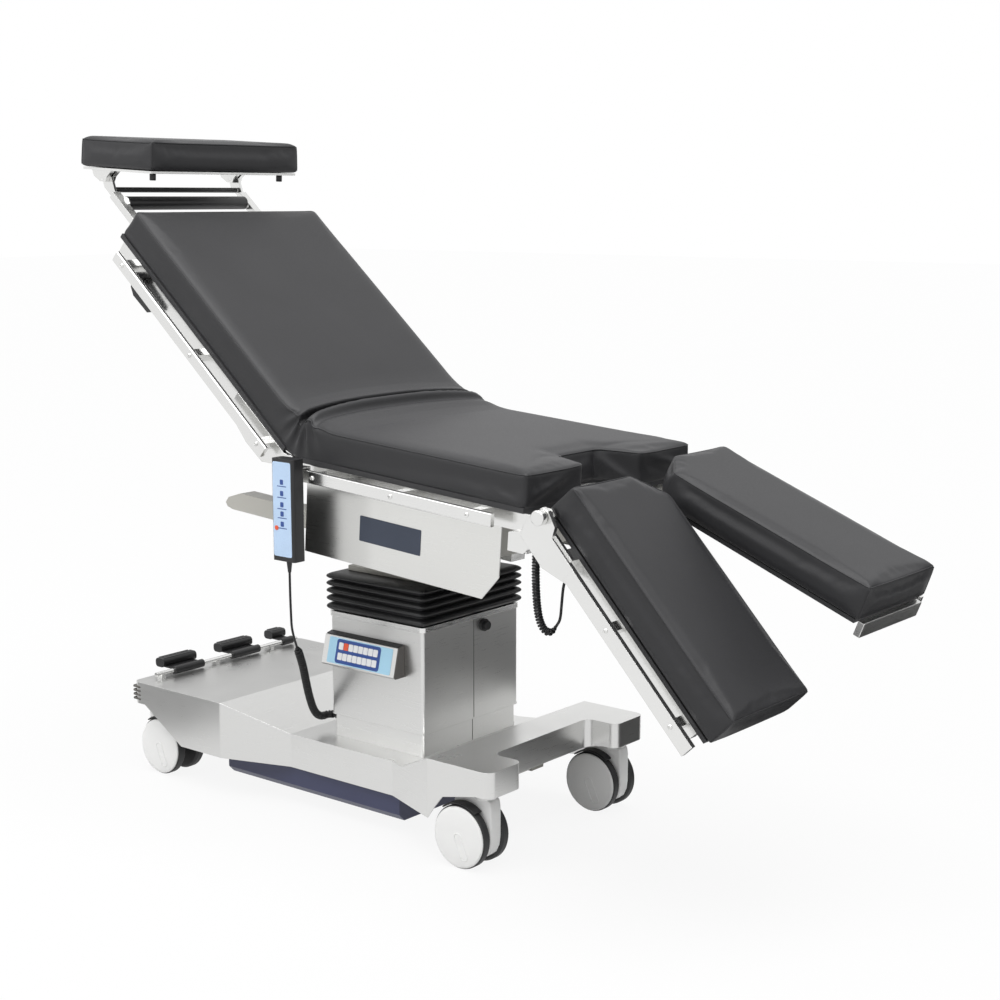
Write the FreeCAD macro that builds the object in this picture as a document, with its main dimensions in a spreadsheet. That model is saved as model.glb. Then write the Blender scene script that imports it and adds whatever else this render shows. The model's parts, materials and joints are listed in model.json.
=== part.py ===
import FreeCAD, Part
import math
import os
import Sketcher

# Operating table on a mobile column, in millimetres.
# The origin is on the floor under the lifting column's axis.
# X runs to the foot end, Y to the far side and Z up.

V = FreeCAD.Vector
doc = FreeCAD.newDocument("operating_table")
sheet = doc.addObject("Spreadsheet::Sheet", "Sizes")
NODES = {}


# A size keeps its number and the sheet expression that it comes from.
class Size:
    def __init__(self, number, text):
        self.number = float(number)
        self.text = text

    def __add__(self, other):
        other = as_size(other)
        return Size(self.number + other.number, f"({self.text} + {other.text})")

    def __radd__(self, other):
        return as_size(other) + self

    def __sub__(self, other):
        other = as_size(other)
        return Size(self.number - other.number, f"({self.text} - {other.text})")

    def __rsub__(self, other):
        return as_size(other) - self

    def __mul__(self, other):
        other = as_size(other)
        return Size(self.number * other.number, f"({self.text} * {other.text})")

    def __rmul__(self, other):
        return as_size(other) * self

    def __truediv__(self, other):
        other = as_size(other)
        return Size(self.number / other.number, f"({self.text} / {other.text})")

    def __neg__(self):
        return Size(-self.number, f"(0 - {self.text})")


def as_size(value):
    return value if isinstance(value, Size) else Size(value, repr(float(value)))


def cosine(angle):
    return Size(math.cos(math.radians(angle.number)), f"cos({angle.text})")


def sine(angle):
    return Size(math.sin(math.radians(angle.number)), f"sin({angle.text})")


def tangent(angle):
    return Size(math.tan(math.radians(angle.number)), f"tan({angle.text})")


def size(alias, number):
    row = size.row = getattr(size, "row", 0) + 1
    sheet.set(f"A{row}", alias)
    sheet.set(f"B{row}", str(number))
    sheet.setAlias(f"B{row}", alias)
    return Size(number, f"Sizes.{alias}")


# Fits
gap = size("running_gap", 0.3)
pin_gap = size("pin_gap", 0.05)

# Base
sheet_wall = size("sheet_wall", 2.5)
base_head_end = size("base_head_end", 638)
base_foot_end = size("base_foot_end", 379)
platform_end = size("platform_end", 357)
head_ramp_end = size("head_ramp_end", 199)
waist_end = size("waist_end", 88)
foot_ramp_start = size("foot_ramp_start", 125)
foot_ramp_end = size("foot_ramp_end", 225)
crossbeam_end = size("crossbeam_end", 306)
base_half_width = size("base_half_width", 252)
waist_half_width = size("waist_half_width", 200)
outrigger_inner = size("outrigger_inner", 152)
cover_bottom = size("cover_bottom", 86)
platform_top = size("platform_top", 206)
deck_top = size("deck_top", 157)
crossbeam_top = size("crossbeam_top", 204)
head_arch_top = size("head_arch_top", 158)
head_arch_outer = size("head_arch_outer", 600)
head_arch_inner = size("head_arch_inner", 484)
foot_arch_top = size("foot_arch_top", 153)
foot_arch_inner = size("foot_arch_inner", 226)
foot_arch_rise = size("foot_arch_rise", 26)
foot_arch_outer = size("foot_arch_outer", 345)
corner_round = size("corner_round", 18)
deck_hole_x = size("deck_hole_half_length", 100)
deck_hole_y = size("deck_hole_half_width", 120)
skirt_head = size("skirt_head_end", 401)
skirt_foot = size("skirt_foot_end", 97)
skirt_half_width = size("skirt_half_width", 190)
skirt_bottom = size("skirt_bottom", 30)
rail_spread = size("chassis_rail_spread", 90)
rail_width = size("chassis_rail_width", 40)
chassis_bottom = size("chassis_bottom", 96)
chassis_top = size("chassis_top", 146)
chassis_plate = size("chassis_plate", 8)

# Casters
wheel_radius = size("wheel_radius", 62.5)
wheel_width = size("wheel_width", 23)
wheel_track = size("wheel_half_track", 28)
tyre_depth = size("tyre_depth", 5)
axle_radius = size("axle_radius", 6)
caster_offset = size("caster_offset", 36)
caster_head_side = size("caster_head_side", 192)
caster_foot_side = size("caster_foot_side", 209)
caster_head_stem = size("caster_head_stem", 616)
caster_foot_stem = size("caster_foot_stem", 336)
fork_width = size("fork_width", 26)
hood_width = size("hood_width", 72)
stem_radius = size("stem_radius", 11)
stem_plate = size("stem_plate_height", 142)
stem_seat = size("stem_seat_height", 158)

# Pedals
pedal_axis_x = size("pedal_axis_x", 604)
pedal_axis_height = size("pedal_axis_height", 217)
pedal_shaft_radius = size("pedal_shaft_radius", 5)
pedal_length = size("pedal_length", 54)
pedal_pad = size("pedal_pad_length", 28)
pedal_thick = size("pedal_pad_thick", 20)

# Column
column_half_length = size("column_half_length", 126)
column_half_width = size("column_half_width", 149.4)
column_inset = size("column_foot_inset", 4)
column_foot_top = size("column_foot_top", 204)
column_top = size("column_top", 413)
collar_top = size("collar_top", 423)
column_round = size("column_corner_round", 6)
keypad_head = size("keypad_head_end", 124)
keypad_foot = size("keypad_foot_end", 75)
keypad_bottom = size("keypad_bottom", 316)
keypad_top = size("keypad_top", 381)
keypad_depth_top = size("keypad_depth_top", 17)
keypad_depth_bottom = size("keypad_depth_bottom", 31)
bellows_top = size("bellows_top", 503)
bellows_proud = size("bellows_proud", 9)
bellows_wall = size("bellows_wall", 1.5)
bellows_fold_depth = size("bellows_fold_depth", 11)
lift_half_length = size("lift_half_length", 80)
lift_half_width = size("lift_half_width", 100)
lift_wall = size("lift_wall", 8)
lift_bottom = size("lift_bottom", 166)

# Tilting head of the column
tilt_axis_rise = size("tilt_axis_rise", 57)
tilt_axis_height = bellows_top + tilt_axis_rise
table_tilt = size("table_tilt", 4.1)
yoke_plate = size("yoke_plate", 10)
yoke_half_length = size("yoke_half_length", 110)
yoke_half_width = size("yoke_half_width", 112)
ear_half_width = size("ear_half_width", 20)
ear_inner = size("ear_inner", 46)
ear_outer = size("ear_outer", 58)
ear_rise = size("ear_rise", 17)
pivot_radius = size("pivot_radius", 11)
lug_inner = size("lug_inner", 60)
lug_outer = size("lug_outer", 74)
slide_plate_rise = size("slide_plate_rise", 50)
beam_head = size("beam_head_end", 415)
beam_foot = size("beam_foot_end", 150)
beam_bottom = size("beam_bottom", 18)
beam_top = size("beam_top", 56)
beam_inner = size("beam_inner", 130)
beam_outer = size("beam_outer", 170)

# Seat, measured from the tilt axis along and square to the seat
seat_top = size("seat_top", 254)
seat_pad = size("seat_pad_thick", 66)
seat_foot = size("seat_foot_edge", 462)
pad_half_width = size("pad_half_width", 270)
seat_plate = size("seat_plate_thick", 10)
cutout_mouth = size("cutout_mouth_half", 90)
cutout_base = size("cutout_base_half", 58)
cutout_depth = size("cutout_depth", 90)
back_hinge_x = size("back_hinge_x", 128)
back_pin_radius = size("back_pin_radius", 6)
back_hub_radius = size("back_hub_radius", 10.4)
hinge_depth = size("hinge_depth", 75)
fold_half_angle = size("fold_half_angle", 30)
leg_hinge_x = size("leg_hinge_x", 521)
leg_hinge_z = size("leg_hinge_z", 189)
bar_inner = size("side_bar_inner", 240)
bar_outer = size("side_bar_outer", 258)
bar_depth = size("side_bar_depth", 34)
rail_inner = size("rail_inner", 285)
rail_outer = size("rail_outer", 295)
rail_height = size("rail_height", 25)
seat_rail_top = size("seat_rail_top", 174)
seat_rail_head = size("seat_rail_head", 98)
seat_rail_foot = size("seat_rail_foot", 408)
panel_outer = size("panel_outer", 235)
panel_head = size("panel_head_end", 110)
panel_foot = size("panel_foot_end", 386)
panel_bottom = size("panel_bottom", 6)
panel_chamfer_x = size("panel_chamfer_length", 38)
panel_chamfer_z = size("panel_chamfer_height", 48)

# Back section, measured from its hinge
back_angle = size("back_angle", 40.8)
back_head = size("back_head_edge", 658)
back_pad_bottom = size("back_pad_bottom", 9)
back_rail_top = size("back_rail_top", 8)
back_rail_head = size("back_rail_head", 618)
back_rail_foot = size("back_rail_foot", 45)
lever_x = size("release_lever_x", 556)
lever_z = size("release_lever_z", -22)
head_bar_side = size("head_bar_side", 184)
head_bar_half = size("head_bar_half", 10)
head_bar_start = size("head_bar_start", 560)
head_pivot_x = size("head_pivot_x", 840)
head_pivot_z = size("head_pivot_z", 4)
cross_bar_x = size("black_crossbar_x", 770)
cross_bar_radius = size("black_crossbar_radius", 14)

# Head section, measured from its pivot
head_angle = size("head_angle", 3.2)
head_pad_bottom = size("head_pad_bottom", 20.5)
head_pad_thick = size("head_pad_thick", 66)
head_pad_head = size("head_pad_head_end", 58)
head_pad_foot = size("head_pad_foot_end", 184)
head_pad_half = size("head_pad_half_width", 217.5)
head_plate = size("head_plate_thick", 5)

# Leg sections, measured from their hinge
near_leg_angle = size("near_leg_angle", 47)
far_leg_angle = size("far_leg_angle", 21.6)
leg_pad_start = size("leg_pad_start", 16)
leg_pad_end = size("leg_pad_end", 484)
leg_pad_bottom = size("leg_pad_bottom", 2)
leg_pad_thick = size("leg_pad_thick", 70)
leg_inner = size("leg_inner_side", 10)
leg_outer = size("leg_outer_side", 270)
leg_chamfer_x = size("leg_chamfer_length", 57)
leg_chamfer_y = size("leg_chamfer_width", 80)
leg_plate = size("leg_plate_thick", 8)
leg_rail_end = size("leg_rail_end", 472)
hinge_pin_radius = size("hinge_pin_radius", 8)
cheek_inner = size("leg_cheek_inner", 277.3)
cheek_recess = size("leg_cheek_recess", 1)
cheek_end = size("leg_cheek_end", 108)
bracket_inner = size("leg_bracket_inner", 271)
bracket_outer = size("leg_bracket_outer", 277)

# Hand control
control_width = size("hand_control_width", 60)
control_depth = size("hand_control_depth", 30)
control_length = size("hand_control_length", 200)
control_x = size("hand_control_x", 66)
control_front = size("hand_control_front", 336)
control_bottom = size("hand_control_bottom", 562)
relief_length = size("strain_relief_length", 24)
inlet_y = size("cord_inlet_y", -118)
inlet_z = size("cord_inlet_height", 190)
inlet_length = size("cord_inlet_length", 20)
doc.recompute()


# Frames of the sections: where the section's own origin is, and how far its
# foot side is turned down about Y.
class Frame:
    def __init__(self, x, z, angle):
        self.x, self.z, self.angle = as_size(x), as_size(z), as_size(angle)

    def at(self, x, z):
        c, s = cosine(self.angle), sine(self.angle)
        return self.x + x * c + z * s, self.z - x * s + z * c


FLOOR = Frame(0, 0, 0)
SEAT = Frame(0, tilt_axis_height, table_tilt)
BACK = Frame(*SEAT.at(-back_hinge_x, seat_top - hinge_depth), back_angle)
HEAD = Frame(*BACK.at(-head_pivot_x, head_pivot_z), head_angle)
LEG_HINGE = SEAT.at(leg_hinge_x, leg_hinge_z)
NEAR_LEG = Frame(*LEG_HINGE, near_leg_angle)
FAR_LEG = Frame(*LEG_HINGE, far_leg_angle)


def bind(feature, path, value):
    feature.setExpression(path, as_size(value).text)


def set_frame(feature, frame, y=0):
    feature.Placement = FreeCAD.Placement(V(0, 0, 0), FreeCAD.Rotation(V(0, 1, 0), 10))
    bind(feature, "Placement.Rotation.Angle", frame.angle)
    bind(feature, "Placement.Base.x", frame.x)
    bind(feature, "Placement.Base.y", y)
    bind(feature, "Placement.Base.z", frame.z)


def node(label, feature, frame=None):
    if frame is not None and feature.TypeId in ("Part::Box", "Part::Cylinder"):
        feature = group(feature)
    feature.Label = label
    if frame is not None:
        set_frame(feature, frame)
    NODES[label] = feature
    return feature


def box(x0, x1, y0, y1, z0, z1):
    feature = doc.addObject("Part::Box", "Box")
    for side, low, high, axis in (("Length", x0, x1, "x"), ("Width", y0, y1, "y"), ("Height", z0, z1, "z")):
        bind(feature, side, as_size(high) - low)
        bind(feature, f"Placement.Base.{axis}", low)
    return feature


def rod(axis, x, y, z, radius, length):
    feature = doc.addObject("Part::Cylinder", "Rod")
    turn = {"X": (V(0, 1, 0), 90), "Y": (V(1, 0, 0), -90), "Z": (V(0, 0, 1), 0)}[axis]
    feature.Placement = FreeCAD.Placement(V(0, 0, 0), FreeCAD.Rotation(*turn))
    for name, value in (("x", x), ("y", y), ("z", z)):
        bind(feature, f"Placement.Base.{name}", value)
    bind(feature, "Radius", radius)
    bind(feature, "Height", length)
    return feature


def fuse(*parts):
    feature = doc.addObject("Part::MultiFuse", "Fuse")
    feature.Shapes = list(parts)
    return feature


def cut(base, *tools):
    feature = doc.addObject("Part::Cut", "Cut")
    feature.Base = base
    feature.Tool = tools[0] if len(tools) == 1 else fuse(*tools)
    return feature


def common(first, second):
    feature = doc.addObject("Part::MultiCommon", "Common")
    feature.Shapes = [first, second]
    return feature


def group(*parts):
    feature = doc.addObject("Part::Compound", "Group")
    feature.Links = list(parts)
    return feature


# A prism of a closed outline. The outline's corners are bound to the sheet.
# plane XZ is padded along Y, XY along Z and YZ along X, from low to high.
def prism(plane, corners, low, high):
    low, high = as_size(low), as_size(high)
    body = doc.addObject("PartDesign::Body", "Body")
    origin_plane = [f for f in body.Origin.OriginFeatures if f.Role == f"{plane}_Plane"][0]
    sketch = body.newObject("Sketcher::SketchObject", "Outline")
    sketch.AttachmentSupport = (origin_plane, [""])
    sketch.MapMode = "FlatFace"
    corners = [(as_size(a), as_size(b)) for a, b in corners]
    count = len(corners)
    for i, (a, b) in enumerate(corners):
        c, d = corners[(i + 1) % count]
        sketch.addGeometry(Part.LineSegment(V(a.number, b.number, 0), V(c.number, d.number, 0)))
    for i in range(count):
        sketch.addConstraint(Sketcher.Constraint("Coincident", i, 2, (i + 1) % count, 1))
    for i, (a, b) in enumerate(corners):
        for kind, value in (("DistanceX", a), ("DistanceY", b)):
            index = sketch.addConstraint(Sketcher.Constraint(kind, -1, 1, i, 1, value.number))
            bind(sketch, f"Constraints[{index}]", value)
    pad = body.newObject("PartDesign::Pad", "Pad")
    pad.Profile = sketch
    bind(pad, "Length", high - low)
    if plane == "XZ":
        pad.Reversed = True
    shift = {"XZ": -low, "XY": low, "YZ": low}[plane]
    bind(sketch, "AttachmentOffset.Base.z", shift)
    return body


# A solid turned about an axis along Y. The outline's corners are radius and y.
def turned(outline, x, y, z):
    body = doc.addObject("PartDesign::Body", "Turned")
    plane = [f for f in body.Origin.OriginFeatures if f.Role == "XY_Plane"][0]
    sketch = body.newObject("Sketcher::SketchObject", "Outline")
    sketch.AttachmentSupport = (plane, [""])
    sketch.MapMode = "FlatFace"
    corners = [(as_size(a), as_size(b)) for a, b in outline]
    count = len(corners)
    for i, (a, b) in enumerate(corners):
        c, d = corners[(i + 1) % count]
        sketch.addGeometry(Part.LineSegment(V(a.number, b.number, 0), V(c.number, d.number, 0)))
    for i in range(count):
        sketch.addConstraint(Sketcher.Constraint("Coincident", i, 2, (i + 1) % count, 1))
    for i, (a, b) in enumerate(corners):
        for kind, value in (("DistanceX", a), ("DistanceY", b)):
            index = sketch.addConstraint(Sketcher.Constraint(kind, -1, 1, i, 1, value.number))
            bind(sketch, f"Constraints[{index}]", value)
    turn = body.newObject("PartDesign::Revolution", "Revolution")
    turn.Profile = sketch
    turn.ReferenceAxis = (sketch, ["V_Axis"])
    turn.Angle = 360
    for name, value in (("x", x), ("y", y), ("z", z)):
        bind(body, f"Placement.Base.{name}", value)
    return body


# Rounds the edges of a feature that run along one axis at the given corners.
def rounded(feature, radius, axis, keep=lambda middle: True):
    doc.recompute()
    direction = {"X": V(1, 0, 0), "Y": V(0, 1, 0), "Z": V(0, 0, 1)}[axis]
    chosen = []
    for i, edge in enumerate(feature.Shape.Edges):
        if edge.Curve.TypeId != "Part::GeomLine":
            continue
        along = edge.Vertexes[-1].Point - edge.Vertexes[0].Point
        if along.Length > 0 and abs(along.normalize().dot(direction)) > 0.999 and keep(edge.CenterOfMass):
            chosen.append(i + 1)
    fillet = doc.addObject("Part::Fillet", "Rounded")
    fillet.Base = feature
    fillet.Edges = [(i, as_size(radius).number, as_size(radius).number) for i in chosen]
    return fillet


def mirrored_y(y0, y1, side):
    return (y0, y1) if side > 0 else (-y1, -y0)


SIDES = (("near", -1), ("far", 1))


# Base cover: one folded stainless shell, H-shaped in plan, low at the column
def base_plan(inset):
    head, foot = -base_head_end + inset, base_foot_end - inset
    half, waist, inner = base_half_width - inset, waist_half_width - inset, outrigger_inner + inset
    beam = crossbeam_end - inset
    side = [(head, half), (-platform_end, half), (-head_ramp_end, waist), (waist_end, waist),
            (foot_ramp_end, half), (foot, half), (foot, inner), (beam, inner)]
    return side + [(x, -y) for x, y in reversed(side)]


def base_side(inset):
    head, foot = -base_head_end + inset, base_foot_end - inset
    top = [(head, platform_top - inset), (-platform_end, platform_top - inset),
           (-head_ramp_end, deck_top - inset), (foot_ramp_start, deck_top - inset),
           (foot_ramp_end, crossbeam_top - inset), (foot, crossbeam_top - inset)]
    if inset is not sheet_wall:
        return top + [(foot, foot_arch_top), (foot_arch_outer, foot_arch_top),
                      (foot_arch_inner + 38, cover_bottom + foot_arch_rise + 24),
                      (foot_arch_inner + 18, cover_bottom + foot_arch_rise), (foot_arch_inner, cover_bottom),
                      (-head_arch_inner, cover_bottom), (-head_arch_outer, head_arch_top), (head, head_arch_top)]
    floor_line = cover_bottom - 20
    return top + [(foot, floor_line), (head, floor_line)]


def base_cover():
    nothing = as_size(0)
    plan = prism("XY", base_plan(nothing), cover_bottom - 10, platform_top + 10)
    plan = rounded(plan, corner_round, "Z")
    outer = common(plan, prism("XZ", base_side(nothing), -base_half_width - 1, base_half_width + 1))
    inner_plan = prism("XY", base_plan(sheet_wall), cover_bottom - 20, platform_top + 10)
    inner_plan = rounded(inner_plan, corner_round - sheet_wall, "Z")
    inner = common(inner_plan, prism("XZ", base_side(sheet_wall), -base_half_width - 1, base_half_width + 1))
    hole = box(-deck_hole_x, deck_hole_x, -deck_hole_y, deck_hole_y, deck_top - 30, deck_top + 30)
    node("base_cover", cut(outer, inner, hole))


# Drive tub under the cover, open at the top, with chamfered lower edges
def underbody():
    slope = 14
    wall = sheet_wall
    outline = [(-skirt_half_width, chassis_bottom), (-skirt_half_width, skirt_bottom + slope),
               (-skirt_half_width + slope, skirt_bottom), (skirt_half_width - slope, skirt_bottom),
               (skirt_half_width, skirt_bottom + slope), (skirt_half_width, chassis_bottom)]
    inside = [(-skirt_half_width + wall, cover_bottom + 30), (-skirt_half_width + wall, skirt_bottom + slope + 1),
              (-skirt_half_width + slope + 1, skirt_bottom + wall), (skirt_half_width - slope - 1, skirt_bottom + wall),
              (skirt_half_width - wall, skirt_bottom + slope + 1), (skirt_half_width - wall, cover_bottom + 30)]
    outer = prism("YZ", outline, -skirt_head, skirt_foot)
    inner = prism("YZ", inside, -skirt_head + wall, skirt_foot - wall)
    flanges = []
    for side in (-1, 1):
        y0, y1 = mirrored_y(rail_spread - rail_width / 2, rail_spread + rail_width / 2, side)
        flanges.append(box(-skirt_head, -skirt_head + 40, y0, y1, skirt_bottom + wall, chassis_bottom))
        flanges.append(box(skirt_foot - 40, skirt_foot, y0, y1, skirt_bottom + wall, chassis_bottom))
    node("underbody_tub", fuse(cut(outer, inner), *flanges))


# Welded chassis of rectangular tube: low rails under the deck, and raised ends
# over the casters, with a plate for the column
def chassis():
    parts = []
    low, high = stem_seat, stem_seat + 24
    stems = ((-caster_head_stem, caster_head_side), (caster_foot_stem, caster_foot_side))
    for side in (-1, 1):
        y0, y1 = mirrored_y(rail_spread - rail_width / 2, rail_spread + rail_width / 2, side)
        parts.append(box(-head_arch_inner, foot_arch_inner, y0, y1, chassis_bottom, chassis_top))
        parts.append(box(-head_arch_inner, -head_arch_inner + 30, y0, y1, chassis_bottom, high))
        parts.append(box(-caster_head_stem, -head_arch_inner + 30, y0, y1, low, high))
        parts.append(box(foot_arch_inner - 24, foot_arch_inner, y0, y1, chassis_bottom, high))
        parts.append(box(foot_arch_inner - 24, crossbeam_end - 20, y0, y1, low, high))
        y0, y1 = mirrored_y(caster_foot_side - 22, caster_foot_side + 22, side)
        parts.append(box(crossbeam_end - 50, caster_foot_stem + 22, y0, y1, low, high))
    foot_half, head_half = caster_foot_side + 22, caster_head_side + 22
    parts.append(box(crossbeam_end - 50, crossbeam_end - 6, -foot_half, foot_half, low, high))
    parts.append(box(-caster_head_stem - 17, -caster_head_stem + 22, -head_half, head_half, low, high))
    top = deck_top - sheet_wall
    parts.append(box(-column_half_length, column_half_length, -column_half_width, column_half_width,
                     top - chassis_plate, top))
    parts.append(box(crossbeam_end - 44, crossbeam_end - 14, -outrigger_inner + 40, -20, low - 22, low))
    bores = []
    for x, y in stems:
        for side in (-1, 1):
            bores.append(rod("Z", x, side * y, stem_plate, stem_radius + pin_gap, 60))
    inner = lift_half_length + gap + lift_wall, lift_half_width + gap + lift_wall
    well = box(-inner[0], inner[0], -inner[1], inner[1], top - 30, top + 10)
    node("chassis_frame", cut(fuse(*parts), *bores, well))


# Twin-wheel casters: a central fork with a hood, and two wheels on one axle
def caster(name, stem_x, axle_x, y):
    direction = 1 if stem_x.number > axle_x.number else -1
    w = fork_width / 2
    reach = 13
    back = axle_x - direction * reach
    front = stem_x + direction * 15
    web = prism("XZ", [(back, wheel_radius - 14), (back, wheel_radius + 45), (axle_x, stem_plate - 15),
                       (front, stem_plate - 15), (front, stem_plate - 30), (axle_x + direction * 18, wheel_radius - 14)],
                y - w, y + w)
    hood_y = hood_width / 2
    hood = prism("XZ", [(axle_x - direction * 34, wheel_radius + 59), (axle_x - direction * 12, wheel_radius + 67),
                        (front, wheel_radius + 67), (front + direction * 6, wheel_radius + 55),
                        (front, wheel_radius + 55), (axle_x + direction * 30, wheel_radius + 64),
                        (axle_x - direction * 14, wheel_radius + 64), (axle_x - direction * 33, wheel_radius + 55)],
                 y - hood_y, y + hood_y)
    ring = rod("Z", stem_x, y, stem_plate - 16, 20, stem_seat - stem_plate + 16)
    stem = rod("Z", stem_x, y, stem_plate - 10, stem_radius, stem_seat - stem_plate + 32)
    bore = rod("Y", axle_x, y - hood_width, wheel_radius, axle_radius + pin_gap, 2 * hood_width)
    node(f"caster_fork_{name}", cut(fuse(web, hood, ring, stem), bore))
    half = fork_width / 2 + gap
    inner = wheel_track - wheel_width / 2
    outer = wheel_track + wheel_width / 2
    rim = wheel_radius - tyre_depth
    wheel = [(0, -outer + 5), (14, -outer + 5), (17, -outer + 2), (rim - 6, -outer + 4), (rim, -outer),
             (wheel_radius - 3, -outer + 1), (wheel_radius, -outer + 5), (wheel_radius, -inner - 5),
             (wheel_radius - 3, -inner - 1), (rim, -inner), (16, -inner), (16, -half), (axle_radius, -half)]
    mirror = [(r, -width) for r, width in reversed(wheel)]
    node(f"caster_wheel_{name}", turned(wheel + mirror, axle_x, y, wheel_radius))


def casters():
    for name, side in SIDES:
        caster(f"foot_{name}", caster_foot_stem, caster_foot_stem - caster_offset, side * caster_foot_side)
        caster(f"head_{name}", -caster_head_stem, -caster_head_stem + caster_offset, side * caster_head_side)


# Three foot pedals on one shaft over the head end of the cover
PEDALS = (("brake", -122, 96), ("up", 50, 96), ("down", 184, 44))


def pedals():
    half = 215
    shaft = rod("Y", -pedal_axis_x, -half, pedal_axis_height, pedal_shaft_radius, 2 * half)
    posts = []
    for y in (-200, -40, 130):
        posts.append(box(-pedal_axis_x - 8, -pedal_axis_x + 8, y - 5, y + 5, platform_top, pedal_axis_height))
    node("pedal_shaft", fuse(shaft, *posts))
    for name, y, width in PEDALS:
        hub_radius = pedal_shaft_radius + 4
        hub = rod("Y", -pedal_axis_x, y - width / 2 + 6, pedal_axis_height, hub_radius, width - 12)
        arm = box(-pedal_axis_x - pedal_length + 4, -pedal_axis_x, y - width / 2 + 8, y + width / 2 - 8,
                  pedal_axis_height + 1, pedal_axis_height + 5)
        pad = box(-pedal_axis_x - pedal_length, -pedal_axis_x - pedal_length + pedal_pad, y - width / 2,
                  y + width / 2, pedal_axis_height + 2, pedal_axis_height + 2 + pedal_thick)
        pad = rounded(pad, pedal_thick / 2 - 2, "Y")
        bore = rod("Y", -pedal_axis_x, y - width, pedal_axis_height, pedal_shaft_radius + pin_gap, 2 * width)
        node(f"pedal_{name}", cut(fuse(hub, arm, pad), bore))


# Column covers: an inset foot, the main cover and a bright collar
def shell_box(half_x, half_y, z0, z1, wall, radius):
    outer = rounded(box(-half_x, half_x, -half_y, half_y, z0, z1), radius, "Z")
    inner = box(-half_x + wall, half_x - wall, -half_y + wall, half_y - wall, z0 - 5, z1 + 5)
    return cut(outer, inner)


def column():
    inset = column_inset
    skirt = shell_box(column_half_length - inset, column_half_width - inset, deck_top,
                      column_foot_top, sheet_wall, column_round)
    guide_x, guide_y = lift_half_length + gap, lift_half_width + gap
    flange = box(-column_half_length + inset + 1, column_half_length - inset - 1, -column_half_width + inset + 1,
                 column_half_width - inset - 1, deck_top, deck_top + 8)
    tube = box(-guide_x - lift_wall, guide_x + lift_wall, -guide_y - lift_wall, guide_y + lift_wall,
               deck_top, column_top - 4)
    bore = box(-guide_x, guide_x, -guide_y, guide_y, deck_top - 10, column_top + 5)
    node("column_foot", cut(fuse(skirt, flange, tube), bore))
    main = shell_box(column_half_length, column_half_width, column_foot_top, column_top, sheet_wall, column_round)
    ledge = cut(box(-column_half_length + 1, column_half_length - 1, -column_half_width + 1, column_half_width - 1,
                    column_foot_top, column_foot_top + 4),
                box(-column_half_length + 12, column_half_length - 12, -column_half_width + 12,
                    column_half_width - 12, column_foot_top - 5, column_foot_top + 9))
    node("column_cover", fuse(main, ledge))
    lip = 3
    rim = rounded(box(-column_half_length - lip, column_half_length + lip, -column_half_width - lip,
                      column_half_width + lip, column_top, collar_top), column_round + lip, "Z")
    hole = box(-lift_half_length - 14, lift_half_length + 14, -lift_half_width - 14, lift_half_width + 14,
               column_top - 5, collar_top + 5)
    node("column_collar", cut(rim, hole))


# Keypad housing, a wedge on the column's near face
def keypad():
    face = -column_half_width
    outline = [(face, keypad_bottom), (face, keypad_top), (face - keypad_depth_top, keypad_top - 4),
               (face - keypad_depth_bottom, keypad_bottom + 4), (face - keypad_depth_bottom + 4, keypad_bottom)]
    wedge = prism("YZ", outline, -keypad_head, keypad_foot)
    node("keypad_housing", wedge)


# Fittings on the column: the coiled lead's inlet and a round socket
def fittings():
    face = -column_half_length + column_inset
    flange = rod("X", face - 4, inlet_y, inlet_z, 13, 4)
    neck = rod("X", face - inlet_length, inlet_y, inlet_z, 8, inlet_length - 3)
    node("cord_inlet", fuse(flange, neck))
    socket_y, socket_z = 36, 396
    ring = rod("X", column_half_length, socket_y, socket_z, 13, 6)
    cap = rod("X", column_half_length + 5, socket_y, socket_z, 9, 9)
    node("column_socket", fuse(ring, cap))


# Inner lifting column with its yoke
def lifting():
    x, y = lift_half_length, lift_half_width
    tube = cut(box(-x, x, -y, y, lift_bottom, bellows_top),
               box(-x + lift_wall, x - lift_wall, -y + lift_wall, y - lift_wall, lift_bottom - 5, bellows_top - 8))
    node("lift_column", tube)
    base_top = bellows_top + yoke_plate
    parts = [box(-yoke_half_length, yoke_half_length, -yoke_half_width, yoke_half_width, bellows_top, base_top)]
    for side in (-1, 1):
        x0, x1 = mirrored_y(ear_inner, ear_outer, side)
        ear = prism("YZ", [(-ear_half_width - 8, base_top - 2), (-ear_half_width, tilt_axis_height),
                           (-ear_half_width + 9, tilt_axis_height + ear_rise),
                           (ear_half_width - 9, tilt_axis_height + ear_rise),
                           (ear_half_width, tilt_axis_height), (ear_half_width + 8, base_top - 2)], x0, x1)
        parts.append(ear)
    bore = rod("X", -ear_outer - 10, 0, tilt_axis_height, pivot_radius + pin_gap, 2 * ear_outer + 20)
    node("tilt_yoke", cut(fuse(*parts), bore))


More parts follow.
